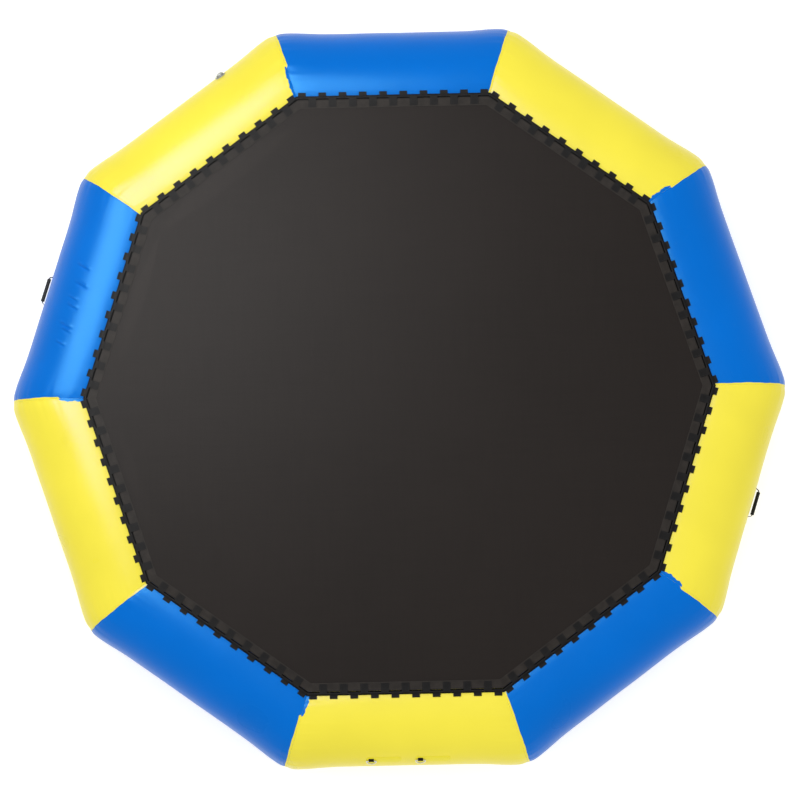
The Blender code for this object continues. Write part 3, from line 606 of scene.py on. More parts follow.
def loop_pitch():
    room = 2 * lacing().cord_apothem * tan(half_turn()) - lacing().loop_width - 2 * lacing().corner_clearance
    return room / (lacing().loops - 1)


def loops_shape(path, count, origin, axes):
    """So many webbing loops of one path along a side, an even pitch apart."""
    loop = ribbon(path, lacing().loop_width, lacing().webbing, ALONG)
    places = (np.arange(count) - (count - 1) / 2) * loop_pitch()
    return joined([moved(loop, origin + axes[0] * along, axes) for along in places])


def cord_in_side():
    """The cord's place towards the middle and up, from the tube's centre line."""
    return centre_line() - lacing().cord_apothem, lacing().cord_height - ring().tube_radius


def cord_in_skin():
    """The cord's place up the skin and out of it, from the line of the rail."""
    inward, height = cord_in_side()
    up_skin = inward * cos(RAIL_LINE) + height * sin(RAIL_LINE)
    return up_skin, height * cos(RAIL_LINE) - inward * sin(RAIL_LINE) - ring().tube_radius


def cord_bend():
    """From the cord's middle to the middle of the webbing that goes round it."""
    return lacing().cord_radius + LOOP_GAP + lacing().webbing / 2


def tube_loop_path():
    """A webbing loop on the tube: out along the skin, over the rail, round the cord and back on itself."""
    cord = cord_in_skin()
    thick = lacing().webbing
    tail = cord[0] - lacing().tube_tail
    rail_top = FIT + lacing().rail_thickness
    low = FIT + thick / 2
    points = [(tail, low), (tail + 0.008, low), (tail + 0.016, low + 0.0002)]
    points += [(tail + 0.0215, rail_top + thick * 0.55), (cord[0] - 0.0045, rail_top + thick * 0.8)]
    points += arc(cord, cord_bend(), -115, 128)
    points += [(tail + 0.017, rail_top + 2.1 * thick), (tail + 0.010, low + 1.25 * thick)]
    points += [(tail + 0.0005, low + thick * 1.06)]
    return smooth_path(points, 19)


def mat_loop_path():
    """A webbing loop on the mat: along the hem, down and round the cord, and back on top of itself."""
    thick = lacing().webbing
    cord = cord_in_side()
    low = hem_top() - ring().tube_radius + thick * 0.52
    top = low + 1.06 * thick
    y, z = cord
    points = [(y + place, low) for place in (lacing().mat_tail, 0.040, 0.025, 0.0150, 0.0122)]
    points += [(y + 0.0074, z - 0.0027)]
    points += arc(cord, cord_bend(), -62, -298)
    points += [(y + 0.0100, z + 0.0040), (y + 0.0175, low + 1.6 * thick)]
    points += [(y + place, top) for place in (0.026, 0.040, lacing().mat_tail - 0.0005)]
    return smooth_path(points, 21)


def hem_top():
    return lacing().mat_top + FIT + lacing().rail_thickness


def webbing_section(low, high, thick, edge):
    """A flat section with its edges rounded off, as places across it and heights."""
    upper = ((high, 0.6 * thick), (high - edge, thick), (low + edge, thick), (low, 0.6 * thick))
    return np.array(((low, 0), ((low + high) / 2, 0), (high, 0), *upper))


def rail_strip_shape(side):
    """The webbing on one side of the tube: a strip on the skin, cut at the corner planes."""
    radius = ring().tube_radius
    high = cord_in_skin()[0] + lacing().rail_past_cord
    place, height = webbing_section(high - lacing().rail_width, high, lacing().rail_thickness, 0.0006).T
    shares = np.linspace(-1, 1, 61)[:, None]
    ends = half_length(place / radius - RAIL_LINE, radius) - FIT
    bumps = 0.00015 * (1 + np.cos(2 * pi * shares * ends / loop_pitch())) * (height > 0)
    places = points_at(shares * ends, place, FIT + height + bumps)
    return grid_shape(on_skin(side, RAIL_LINE, 0.0, places, radius))


def hem_shape():
    """The webbing hem on the mat's edge: a flat band carried once round, lifted a little by each loop."""
    outer = lacing().mat_apothem
    low = lacing().mat_top + FIT
    section = webbing_section(outer, outer - lacing().hem_width, hem_top() - low, -0.0007)
    out, height = np.insert(section, 5, (section[1, 0], hem_top() - low), axis=0).T
    along = np.linspace(-1, 1, 48, endpoint=False)[:, None] * out * tan(half_turn())
    lift = 0.00012 * (1 + np.cos(2 * pi * along / loop_pitch())) * (height > 0)
    rows = [from_middle(side, along, out, low + height + lift) for side in all_sides()]
    return grid_shape(np.concatenate(rows), closed=True)


def cord_shape():
    """The laid cord: three strands, so its radius is 0.86 + 0.14 |cos 1.5 t| of the whole at an angle t."""
    apothem, clearance = lacing().cord_apothem, lacing().corner_clearance
    half = apothem * tan(half_turn()) - clearance
    bend = clearance / tan(half_turn())
    turn = half_turn() * (1 + np.linspace(-0.66, 0.66, 3))
    past = clearance - bend * (tan(half_turn()) - np.sin(turn))
    along = np.concatenate((np.linspace(-half, half, 150), half + past))
    out = np.concatenate((np.full(150, apothem), apothem - bend * (1 - np.cos(turn))))
    path = np.concatenate([from_middle(side, along, out, lacing().cord_height) for side in all_sides()])
    length = run_length(path)
    twist = 2 * pi * round(length[-1] / CORD_LAY) * length[:-1, None] / length[-1]
    reach = lacing().cord_radius * (0.86 + 0.14 * np.abs(np.cos(1.5 * (whole_turn(12) + twist))))
    return rod(path, reach)


def mat_sector_shape(side):
    """One tenth of the mat, from its middle to one side: a flat wedge that sags with the radius squared.

    The top runs from one corner to the other and the bottom runs back, so a row is a closed section.
    """
    shares = np.linspace(0, 1, 31)[:, None]
    across = np.linspace(-1, 1, 13)
    across = np.concatenate((across, across[::-1]))
    drop = np.repeat((0.0, lacing().mat_thickness), 13)
    out = shares * lacing().mat_apothem
    along = out * tan(half_turn()) * across
    corner = lacing().mat_apothem / cos(half_turn())
    sag = MAT_SAG * np.clip(1 - (out**2 + along**2) / corner**2, 0, 1) * np.clip((1 - shares) * 12, 0, 1)
    return welded(grid_shape(from_middle(side, along, out, lacing().mat_top - drop - sag)))


# The fittings


def patch_shape(side, line, along, outline):
    """A patch glued on the skin: the plate's middle plane is wrapped on the tube's circle."""
    flat = plate(outline, fittings().patch)
    return outward({**flat, "points": on_skin(side, line, along, flat["points"] + (0.0, 0.0, FIT))})


def strap_path():
    """Along the patch, up a smooth step, over the hand's gap and down again."""
    sizes = fittings()
    low = sizes.patch + 2 * FIT + sizes.strap_thickness / 2
    half = sizes.handle_span / 2
    foot = half + sizes.handle_run
    x = np.concatenate((np.linspace(-foot - sizes.handle_foot, -foot, 5)[:-1], np.linspace(-foot, -half, 13)))
    x = np.concatenate((x, np.linspace(-half, half, 9)[1:-1], -x[::-1]))
    t = np.clip((foot - np.abs(x)) / sizes.handle_run, 0, 1)
    return points_at(x, 0.0, low + (sizes.handle_standoff - low) * t * t * (3 - 2 * t))


RIB_DEPTH, RIB_SPACING = 0.0007, 0.008


def grip_shape():
    """A ribbed sleeve turned round the strap: its outer radius dips by a sine, and its ends are rounded."""
    sizes = fittings()
    half = sizes.grip_length / 2
    x = np.linspace(-half, half, 113)
    from_end = half - np.abs(x)
    dip = RIB_DEPTH * (0.5 + 0.5 * np.cos(2 * pi * x / RIB_SPACING)) * np.clip(from_end / 0.006 - 1, 0, 1)
    dip = dip + 0.0008 * np.clip(1 - from_end / 0.0015, 0, 1) ** 2
    return turned([*zip(sizes.grip_radius - dip, x), (sizes.grip_bore, half), (sizes.grip_bore, -half)], 28)


def d_ring_shape():
    """A round wire along a bar on X, two small quarter turns and a half circle towards -Y."""
    half, corner = fittings().ring_half_width, fittings().ring_corner
    path = [(x, 0.0) for x in np.linspace(corner - half, half - corner, 9)[1:-1]]
    path += arc((half - corner, -corner), corner, 90, 0, 7)
    path += arc((0.0, -corner), half, 0, -180, 33)[1:-1]
    path += arc((corner - half, -corner), corner, 180, 90, 7)
    return rod(np.pad(path, ((0, 0), (0, 1))), fittings().ring_wire, 14)


def ring_height():
    """From the skin to the middle of a ring's bar."""
    return fittings().patch + 3 * FIT + fittings().ring_wire + 0.0017


def keeper_shape():
    """Webbing round a ring's bar: along the patch, round the bar and back on itself."""
    sizes = fittings()
    tail = sizes.keeper_tail
    low = sizes.patch + 2 * FIT + WEBBING / 2
    top = low + 1.06 * WEBBING
    points = [(tail, low), (0.6 * tail, low), (0.30 * tail, low + 0.0001)]
    points += arc((0.0, ring_height()), sizes.ring_wire + FIT + WEBBING / 2, -75, -300)
    points += [(0.30 * tail, low + 2.6 * WEBBING), (0.45 * tail, low + 1.3 * WEBBING)]
    points += [(0.7 * tail, top), (tail - 0.0004, top)]
    return ribbon(smooth_path(points, 25), sizes.keeper_width, WEBBING, ALONG)


# The valve, round Z with the skin at height 0. Radii and heights in metres

VALVE_BORE, VALVE_COLLAR, VALVE_FLANGE, VALVE_NECK = 0.0125, 0.0180, 0.0330, 0.0163
FLANGE_TOP = FIT + 0.0030
COLLAR_TOP = FLANGE_TOP + 0.0110
NECK_END, WEB_LOW, WEB_HIGH = -0.0160, -0.0110, -0.0080
CAP_INNER = VALVE_COLLAR + FIT
CAP_OUTER = CAP_INNER + 0.0027
CAP_GROOVE = CAP_OUTER - 0.0012
CAP_LOW = FLANGE_TOP + 2 * FIT + 0.0014
CAP_TOP = COLLAR_TOP + FIT + 0.0025
GROOVE_MIDDLE = CAP_TOP - 0.0060
TETHER_THICKNESS = 0.0014
COIL_RADIUS, COIL_WIRE = 0.0043, 0.0004
COIL_LOW = WEB_HIGH + COIL_WIRE + FIT
COIL_HIGH = -COIL_WIRE - FIT


def valve_body_shape():
    """Flange and collar outside, neck and a web with a hole for the stem inside."""
    stem = 0.0028 + FIT
    profile = [
        (VALVE_BORE, COLLAR_TOP), (VALVE_COLLAR, COLLAR_TOP), (VALVE_COLLAR, FLANGE_TOP + 0.0006),
        (VALVE_FLANGE - 0.006, FLANGE_TOP), (VALVE_FLANGE - 0.004, FLANGE_TOP - 0.0007),
        (VALVE_FLANGE, FLANGE_TOP - 0.0010), (VALVE_FLANGE, FIT), (VALVE_NECK, FIT), (VALVE_NECK, NECK_END),
        (VALVE_BORE, NECK_END), (VALVE_BORE, WEB_LOW), (stem, WEB_LOW), (stem, WEB_HIGH),
        (VALVE_BORE, WEB_HIGH),
    ]
    return turned(rounded(profile, 0.0006), 72)


def valve_cap_shape():
    """A cup with a groove for the tether, a milled rim of forty ridges, and a bar to turn it by."""

    def milled(turn, radius):
        return np.where(np.abs(radius - CAP_OUTER) < 1e-5, -0.0002 * (1 - np.cos(40 * turn)), 0.0)

    low, high = GROOVE_MIDDLE - 0.0010, GROOVE_MIDDLE + 0.0010
    profile = [
        (0.0, CAP_TOP), (CAP_OUTER - 0.0010, CAP_TOP), (CAP_OUTER, CAP_TOP - 0.0010), (CAP_OUTER, high),
        (CAP_GROOVE, high), (CAP_GROOVE, low), (CAP_OUTER, low), (CAP_OUTER, CAP_LOW), (CAP_INNER, CAP_LOW),
        (CAP_INNER, COLLAR_TOP + FIT), (0.0, COLLAR_TOP + FIT),
    ]
    x = np.linspace(-1, 1, 17)[:, None]
    reach = np.sqrt(np.clip(1 - (np.clip(np.abs(x) - 0.82, 0, 1) / 0.19) ** 2, 0, 1))
    turn = whole_turn(20)
    y = np.sign(np.cos(turn)) * np.abs(np.cos(turn)) ** 0.6 * 0.0033
    z = np.sign(np.sin(turn)) * np.abs(np.sin(turn)) ** 0.5 * 0.0033 + 0.0030
    bar = points_at(0.0158 * x, y * reach, CAP_TOP - 0.0005 + z * (0.6 + 0.4 * reach))
    return joined([turned(profile, 240, milled), grid_shape(bar)])


def tether_shape():
    """An eye round the collar, an eye in the cap's groove and a strap that bends from one to the other."""
    half = TETHER_THICKNESS / 2
    low, high = FLANGE_TOP + FIT + half, GROOVE_MIDDLE
    parts = []
    for inner, middle in ((VALVE_COLLAR + FIT, low), (CAP_GROOVE + FIT, high)):
        outer, bottom, top = inner + 0.004, middle - half, middle + half
        eye = [(inner, bottom), (outer, bottom), (outer, top), (inner, top)]
        parts.append(turned(rounded(eye, 0.0004), 60))
    bend = (high - low) / 2
    turn = arc((CAP_OUTER + 0.0130 - half - bend, (high + low) / 2), bend, -90, 90, 11)
    path = [(VALVE_COLLAR + 0.0025, low), (0.027, low), *turn, (0.027, high), (CAP_OUTER + 0.0009, high)]
    strap = ribbon(np.insert(path, 1, 0.0, axis=1), 0.009, TETHER_THICKNESS, UP_SKIN)
    return joined([*parts, strap])


def coil_shape():
    """The valve's spring: a wire that climbs four turns from the web to the stem's button."""
    climb = np.linspace(0, 1, 129)
    turn = 8 * pi * climb
    height = COIL_LOW + (COIL_HIGH - COIL_LOW) * climb
    path = points_at(COIL_RADIUS * np.cos(turn), COIL_RADIUS * np.sin(turn), height)
    return rod(path, COIL_WIRE, 10, closed=False)


# Finishes. Patterns read Object coordinates or the piece's own UV map, both in metres

SCRIM_PITCH, YARN_PITCH, RIB_PITCH, STITCH_PITCH, FIBRE_PITCH = 0.0021, 0.0024, 0.0016, 0.0042, 0.0011


def new_finish(name, colour, roughness, **settings):
    """A new material and its node tree, with the values that are the same all over."""
    material = bpy.data.materials.new(name)
    material.use_nodes = True
    inputs = material.node_tree.nodes["Principled BSDF"].inputs
    inputs["Base Color"].default_value = (*colour, 1.0)
    inputs["Roughness"].default_value = roughness
    for socket, value in settings.items():
        inputs[socket.replace("_", " ")].default_value = value
    return material, material.node_tree


def node(tree, kind, inputs, **settings):
    """A node of a kind with its settings. Its inputs take sockets or values, by name or number."""
    made = tree.nodes.new(kind)
    for name, value in settings.items():
        setattr(made, name, value)
    for key, value in inputs.items():
        if isinstance(value, bpy.types.NodeSocket):
            tree.links.new(value, made.inputs[key])
        else:
            made.inputs[key].default_value = value
    return made


def finished(material, shade, sheen, height, distance, strength=1.0):
    """The material with its patterns in the shader: a colour, a roughness and a bump."""
    tree = material.node_tree
    bump = node(tree, "ShaderNodeBump", {"Height": height, "Distance": distance, "Strength": strength})
    inputs = tree.nodes["Principled BSDF"].inputs
    for socket, value in (("Base Color", shade), ("Roughness", sheen), ("Normal", bump.outputs["Normal"])):
        tree.links.new(value, inputs[socket])
    return material


def maths(tree, operation, *values):
    return node(tree, "ShaderNodeMath", dict(enumerate(values)), operation=operation).outputs[0]


def object_place(tree):
    return node(tree, "ShaderNodeTexCoord", {}).outputs["Object"]


def surface_place(tree):
    """The two directions of a piece's own UV map: along it and across it, in metres."""
    uv = node(tree, "ShaderNodeUVMap", {}, uv_map="surface").outputs["UV"]
    return node(tree, "ShaderNodeSeparateXYZ", {"Vector": uv}).outputs[:2]


def noise(tree, scale, detail=3.0, roughness=0.55, stretch=(1.0, 1.0, 1.0)):
    """Noise on Object coordinates, whose cells are about one over the scale wide."""
    place = node(tree, "ShaderNodeMapping", {"Vector": object_place(tree), "Scale": stretch})
    values = {"Vector": place.outputs["Vector"], "Scale": scale, "Detail": detail, "Roughness": roughness}
    return node(tree, "ShaderNodeTexNoise", values).outputs["Fac"]


def remapped(tree, value, low, high, to_low=0.0, to_high=1.0):
    inputs = {0: value, 1: low, 2: high, 3: to_low, 4: to_high}
    return node(tree, "ShaderNodeMapRange", inputs).outputs["Result"]


def shaded(colour, share):
    return (*(min(channel * share, 1.0) for channel in colour), 1.0)


def mixed(tree, share, a, b):
    return node(tree, "ShaderNodeMix", {0: share, 6: a, 7: b}, data_type="RGBA").outputs[2]


def two_shades(tree, colour, share, low, high):
    """The colour, from one shade of it to another."""
    return mixed(tree, share, shaded(colour, low), shaded(colour, high))


def overlaid(tree, shade, mask, strength, over):
    """A shade with another over it where a mask is 1, by a strength."""
    return mixed(tree, maths(tree, "MULTIPLY", mask, strength), shade, over)


def wave(tree, place, pitch):
    """A sine of a place, from 0 to 1, that repeats at the pitch."""
    turn = maths(tree, "MULTIPLY", place, 2 * pi / pitch)
    return maths(tree, "MULTIPLY_ADD", maths(tree, "SINE", turn), 0.5, 0.5)


def weave(tree, along, across, pitch):
    """A plain weave: threads one way and the other lie on top in a checker of cells, each a half sine."""
    phases = [maths(tree, "MULTIPLY", place, pi / pitch) for place in (along, across)]
    sines = [maths(tree, "SINE", phase) for phase in phases]
    over = remapped(tree, maths(tree, "MULTIPLY", *sines), -0.15, 0.15)
    warp, weft = (maths(tree, "ABSOLUTE", sine) for sine in sines)
    up = maths(tree, "MULTIPLY", warp, over)
    return maths(tree, "ADD", up, maths(tree, "MULTIPLY", weft, maths(tree, "SUBTRACT", 1.0, over)))


def vinyl(name, colour, roughness=0.30, tint=(1.0, 1.0, 1.0)):
    """Coated vinyl: slow changes of shade and sheen, fine scuffs, and the faint cross weave of its scrim."""
    material, tree = new_finish(name, colour, roughness, Specular_IOR_Level=0.2, Specular_Tint=(*tint, 1.0))
    slow = remapped(tree, noise(tree, 1.7, 2.0), 0.3, 0.7)
    scuffs = remapped(tree, noise(tree, 38.0, 6.0, 0.7, (1.0, 1.0, 2.5)), 0.60, 0.74)
    pale = shaded([0.85 * channel + 0.05 for channel in colour], 1.0)
    shade = overlaid(tree, two_shades(tree, colour, slow, 0.955, 1.03), scuffs, 0.10, pale)
    sheen = remapped(tree, slow, 0.0, 1.0, roughness - 0.03, roughness + 0.04)
    sheen = maths(tree, "MULTIPLY_ADD", scuffs, 0.16, sheen)
    scrim = weave(tree, *surface_place(tree), SCRIM_PITCH)
    ripples = maths(tree, "MULTIPLY", noise(tree, 9.0, 3.0), 6.0)
    return finished(material, shade, sheen, maths(tree, "ADD", scrim, ripples), 0.00006)


def mat_fabric(name, colour):
    """Close-woven mat: a plain weave of yarns on X and Y, of unlike shade, painted darker in the gaps between
    the yarns as shade, and worn lighter streaks.
    """
    material, tree = new_finish(name, colour, 0.62, Specular_IOR_Level=0.08)
    place = node(tree, "ShaderNodeSeparateXYZ", {"Vector": object_place(tree)}).outputs
    threads = weave(tree, place[0], place[1], YARN_PITCH)
    slow = remapped(tree, noise(tree, 0.9, 3.0), 0.3, 0.7)
    streaks = [noise(tree, 30.0, 2.0, 0.5, stretch) for stretch in ((0.12, 8.0, 1.0), (8.0, 0.12, 1.0))]
    yarns = remapped(tree, maths(tree, "ADD", *streaks), 0.75, 1.25)
    shade = overlaid(tree, two_shades(tree, colour, slow, 0.90, 1.12), yarns, 0.35, shaded(colour, 1.5))
    # Painted shade: the colour darkens where the weave is low, in the gaps between the yarns
    shade = mixed(tree, remapped(tree, threads, 0.15, 0.75, 0.75, 0.0), shade, shaded(colour, 0.35))
    return finished(material, shade, remapped(tree, threads, 0.0, 1.0, 0.72, 0.54), threads, 0.0003, 0.8)


def webbing(name, colour, width):
    """Woven webbing: a herringbone of fine ribs along it, painted darker in the grooves between the ribs as
    shade, with rows of stitches in from both edges.

    The ribs are a sine of the place along plus the distance from the nearest of the herringbone's
    ridges. A stitch is a dash on a line that lies a tenth of the width in from an edge.
    """
    material, tree = new_finish(name, colour, 0.72, Specular_IOR_Level=0.12)
    along, across = surface_place(tree)
    ribs = wave(tree, maths(tree, "ADD", along, maths(tree, "PINGPONG", across, width / 8)), RIB_PITCH)
    edge = maths(tree, "PINGPONG", across, width / 2)
    line = maths(tree, "ABSOLUTE", maths(tree, "SUBTRACT", edge, width * 0.11))
    thread = remapped(tree, line, 0.0003, 0.0008, 1.0, 0.0)
    sewn = maths(tree, "MULTIPLY", thread, remapped(tree, wave(tree, along, STITCH_PITCH), 0.25, 0.4))
    patches = remapped(tree, noise(tree, 22.0, 4.0), 0.3, 0.7)
    shade = two_shades(tree, colour, patches, 0.75, 1.35)
    # Painted shade: the colour darkens in the grooves between the ribs, where the rib wave is low
    shade = mixed(tree, remapped(tree, ribs, 0.0, 0.6, 0.55, 0.0), shade, shaded(colour, 0.45))
    shade = overlaid(tree, shade, sewn, 0.8, shaded([channel + 0.028 for channel in colour], 1.0))
    sheen = remapped(tree, ribs, 0.0, 1.0, 0.80, 0.64)
    return finished(material, shade, sheen, maths(tree, "MULTIPLY_ADD", sewn, 1.4, ribs), 0.00025)


def laid_cord(name, colour):
    """Cord: fine fibres that slant across each strand, painted lighter on their crests and darker between
    them as highlight and shade, with a little fuzz of lighter fibres.
    """
    material, tree = new_finish(name, colour, 0.66, Specular_IOR_Level=0.15)
    along, across = surface_place(tree)
    fibres = wave(tree, maths(tree, "MULTIPLY_ADD", across, 0.9, along), FIBRE_PITCH)
    fuzz = remapped(tree, noise(tree, 420.0, 3.0), 0.45, 0.75)
    # Painted highlight and shade: the colour follows the fibres' relief, darker in the grooves and lighter on
    # the crests
    shade = overlaid(tree, two_shades(tree, colour, fibres, 0.5, 1.4), fuzz, 0.3, shaded(colour, 3.0))
    sheen = remapped(tree, fuzz, 0.0, 1.0, 0.6, 0.8)
    return finished(material, shade, sheen, maths(tree, "ADD", fibres, fuzz), 0.00015)


def moulded(name, colour, roughness, grain=900.0, distance=0.00005, shine=0.5):
    """Moulded rubber or plastic: a fine eroded grain, faint flow marks and handling marks in the sheen."""
    material, tree = new_finish(name, colour, roughness, Specular_IOR_Level=shine)
    fine = noise(tree, grain, 2.0, 0.6)
    flow = noise(tree, 55.0, 5.0, 0.6, (1.0, 1.0, 3.0))
    marks = remapped(tree, noise(tree, 140.0, 6.0, 0.7), 0.55, 0.72)
    shade = two_shades(tree, colour, remapped(tree, flow, 0.3, 0.7), 0.85, 1.18)
    shade = overlaid(tree, shade, marks, 0.25, shaded(colour, 1.9))
    sheen = remapped(tree, flow, 0.3, 0.7, roughness - 0.04, roughness + 0.05)
    sheen = maths(tree, "MULTIPLY_ADD", marks, 0.14, sheen)
    return finished(material, shade, sheen, maths(tree, "MULTIPLY_ADD", flow, 0.5, fine), distance)


def steel_wire(name, colour):
    """Polished stainless wire: drawing lines along it, and a few duller rub marks."""
    material, tree = new_finish(name, colour, 0.2, Metallic=1.0)
    lines = noise(tree, 500.0, 3.0, 0.6, (0.2, 0.2, 1.0))
    rubs = remapped(tree, noise(tree, 90.0, 5.0, 0.65), 0.52, 0.7)
    sheen = maths(tree, "MULTIPLY_ADD", rubs, 0.22, remapped(tree, lines, 0.3, 0.7, 0.13, 0.26))
    return finished(material, two_shades(tree, colour, rubs, 1.05, 0.72), sheen, lines, 0.00002)


def skin_finish(name, side):
    """The vinyl of a side, blue on odd ones and yellow on even ones, and its slot."""
    if side % 2:
        return vinyl(name, colours().blue, tint=BLUE_SHEEN), "pvc_blue"
    return vinyl(name, colours().yellow, tint=YELLOW_SHEEN), "pvc_yellow"


def dress(nodes, finish):
    """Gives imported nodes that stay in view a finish."""
    for name in nodes:
        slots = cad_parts[name].data.materials
        slots.clear()
        slots.append(finish)


def hang_ring(kind, number, place, holder, finishes, tilt=0.0):
    """Make the webbing that holds a ring, and the ring on its own body."""
    keeper_finish, ring_finish = finishes
    keeper = on_side(keeper_shape(), *place)
    new_piece(f"{kind}_webbing_{number}", keeper, keeper_finish, "webbing_black", holder)
    origin, axes = skin_axes(*place, ring_height())
    wire = moved(d_ring_shape(), origin, tilted(axes, tilt))
    name = f"{kind}_ring_{number}"
    new_piece(f"{kind}_d_ring_{number}", wire, ring_finish, "ring_steel", name, f"{name}_body")


# Operators, one for each group of like pieces


class BOUNCER_OT_tubes(bpy.types.Operator):
    """Make the ten inflated lengths of tube, blue and yellow in turn"""

    bl_idname = "bouncer.tubes"
    bl_label = "Tubes"

    def execute(self, context):
        finishes = skin_finish("yellow_vinyl", 0), skin_finish("blue_vinyl", 1)
        for side in all_sides():
            shape = tube_shape(side, WRINKLED_ROWS if side == WRINKLED_SIDE else TUBE_ROWS)
            new_piece(f"tube_skin_{side:02d}", shape, *finishes[side % 2], f"tube_segment_{side:02d}")
        return {"FINISHED"}


class BOUNCER_OT_seam_laps(bpy.types.Operator):
    """Make the laps of yellow skin over blue at the ten seams, and the blue tongues beside the mat"""

    bl_idname = "bouncer.seam_laps"
    bl_label = "Seam Laps"

    def execute(self, context):
        yellow, blue = skin_finish("yellow_lap", 0), skin_finish("blue_lap", 1)
        for corner in all_sides():
            new_piece(f"seam_lap_{corner:02d}", lap_shape(corner), *yellow)
        for corner in SEAM_TONGUES:
            new_piece(f"seam_tongue_{corner:02d}", tongue_shape(corner), *blue)
        return {"FINISHED"}


class BOUNCER_OT_tube_webbing(bpy.types.Operator):
    """Make the webbing on the tube and its loops round the cord"""

    bl_idname = "bouncer.tube_webbing"
    bl_label = "Tube Webbing"

    def execute(self, context):
        strip_finish = webbing("rail_webbing", colours().webbing, lacing().rail_width)
        loop_finish = webbing("loop_webbing", colours().webbing, lacing().loop_width)
        for side in all_sides():
            target = f"lacing_rail_{side:02d}"
            strip = rail_strip_shape(side)
            loops = loops_shape(tube_loop_path(), lacing().loops, *skin_axes(side, RAIL_LINE))
            new_piece(f"tube_webbing_{side:02d}", strip, strip_finish, "webbing_black", target)
            new_piece(f"tube_loops_{side:02d}", loops, loop_finish, "webbing_black", target)
        return {"FINISHED"}


class BOUNCER_OT_mat(bpy.types.Operator):
    """Make the woven jump mat, stretched between the loops"""

    bl_idname = "bouncer.mat"
    bl_label = "Jump Mat"

    def execute(self, context):
        finish = mat_fabric("woven_mat", colours().mat)
        apothem, height = lacing().mat_apothem, lacing().mat_top
        for side in all_sides():
            shape = mat_sector_shape(side)
            panel = new_piece(f"mat_panel_{side:02d}", shape, finish, "mat_fabric", "jump_mat", body=None)
            places = (apothem - DISH_START, apothem - DISH_END)
            start, end = (Vector(from_middle(side, 0.0, out, height)) for out in places)
            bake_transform(panel)
        return {"FINISHED"}


class BOUNCER_OT_hem(bpy.types.Operator):
    """Make the webbing hem on the mat's edge and its loops round the cord"""

    bl_idname = "bouncer.hem"
    bl_label = "Mat Hem"

    def execute(self, context):
        band_finish = webbing("hem_webbing", colours().hem, lacing().hem_width)
        loop_finish = webbing("mat_loop_webbing", colours().webbing, lacing().loop_width)
        new_piece("mat_hem_band", hem_shape(), band_finish, "webbing_black", "mat_hem")
        for side in all_sides():
            loops = loops_shape(mat_loop_path(), lacing().loops - 1, *side_axes(side))
            new_piece(f"mat_loops_{side:02d}", loops, loop_finish, "webbing_black", "mat_hem")
        return {"FINISHED"}


class BOUNCER_OT_cord(bpy.types.Operator):
    """Make the laid cord that joins the mat's loops to the tube's"""

    bl_idname = "bouncer.cord"
    bl_label = "Lacing Cord"

    def execute(self, context):
        finish = laid_cord("black_cord", colours().cord)
        new_piece("mat_cord", cord_shape(), finish, "cord_black", "lacing_cord")
        return {"FINISHED"}


class BOUNCER_OT_handles(bpy.types.Operator):
    """Make the two grab handles with their patches"""

    bl_idname = "bouncer.handles"
    bl_label = "Grab Handles"

    def execute(self, context):
        sizes = fittings()
        strap_finish = webbing("handle_webbing", colours().webbing, sizes.strap_width)
        grip_finish = moulded("grip_rubber", colours().rubber, 0.65, 700.0, 0.00012, 0.15)
        outline = rounded_rectangle(sizes.handle_patch_length, sizes.handle_patch_height, HANDLE_PAD_CORNER)
        strap = ribbon(strap_path(), sizes.strap_width, sizes.strap_thickness, UP_SKIN)
        for number, side in enumerate(HANDLE_SIDES, 1):
            patch = patch_shape(side, HANDLE_LINE, 0.0, outline)
            finish = skin_finish(f"handle_vinyl_{number}", side)
            new_piece(f"handle_patch_{number}", patch, *finish, f"grab_patch_{number}")
            shape = on_side(strap, side, HANDLE_LINE)
            new_piece(f"handle_strap_{number}", shape, strap_finish, "webbing_black", f"grab_strap_{number}")
            origin, axes = skin_axes(side, HANDLE_LINE, 0.0, sizes.handle_standoff)
            grip = moved(grip_shape(), origin, axes[::-1])
            target = f"grab_grip_{number}"
            new_piece(f"handle_grip_{number}", grip, grip_finish, "grip_rubber", target, sharp=50)
        return {"FINISHED"}


class BOUNCER_OT_ladder_rings(bpy.types.Operator):
    """Make the two rings that a boarding ladder hangs from"""

    bl_idname = "bouncer.ladder_rings"
    bl_label = "Ladder Rings"

    def execute(self, context):
        sizes = fittings()
        patch_finish = vinyl("bright_yellow_vinyl", colours().bright_yellow)
        keeper_finish = webbing("keeper_webbing", colours().webbing, sizes.keeper_width)
        finishes = keeper_finish, steel_wire("ring_steel", colours().steel)
        outline = rounded_rectangle(sizes.ladder_pad_length, sizes.ladder_pad_height, LADDER_PAD_CORNER)
        for number, share in enumerate((-1, 1), 1):
            along = sizes.ladder_along + share * sizes.ladder_spacing
            patch = patch_shape(LADDER_SIDE, LADDER_LINE, along + sizes.ladder_pad_shift, outline)
            new_piece(f"ladder_pad_{number}", patch, patch_finish, "pvc_yellow", f"ladder_patch_{number}")
            place = LADDER_SIDE, LADDER_LINE, along
            hang_ring("ladder", number, place, f"ladder_keeper_{number}", finishes)
        return {"FINISHED"}


class BOUNCER_OT_mooring_rings(bpy.types.Operator):
    """Make the four rings that moor the bouncer"""

    bl_idname = "bouncer.mooring_rings"
    bl_label = "Mooring Rings"

    def execute(self, context):
        radius = fittings().ring_patch_radius
        patch_finish = vinyl("black_vinyl", colours().webbing, 0.45)
        keeper_finish = webbing("mooring_webbing", colours().webbing, fittings().keeper_width)
        finishes = keeper_finish, steel_wire("mooring_steel", colours().steel)
        outline = rounded_rectangle(2 * radius, 2 * radius, radius, 12)
        for number, side in enumerate(MOORING_SIDES, 1):
            target = f"mooring_patch_{number}"
            patch = patch_shape(side, MOORING_LINE, 0.0, outline)
            new_piece(f"mooring_pad_{number}", patch, patch_finish, "webbing_black", target)
            hang_ring("mooring", number, (side, MOORING_LINE, 0.0), target, finishes, pi / 2 - MOORING_LINE)
        return {"FINISHED"}


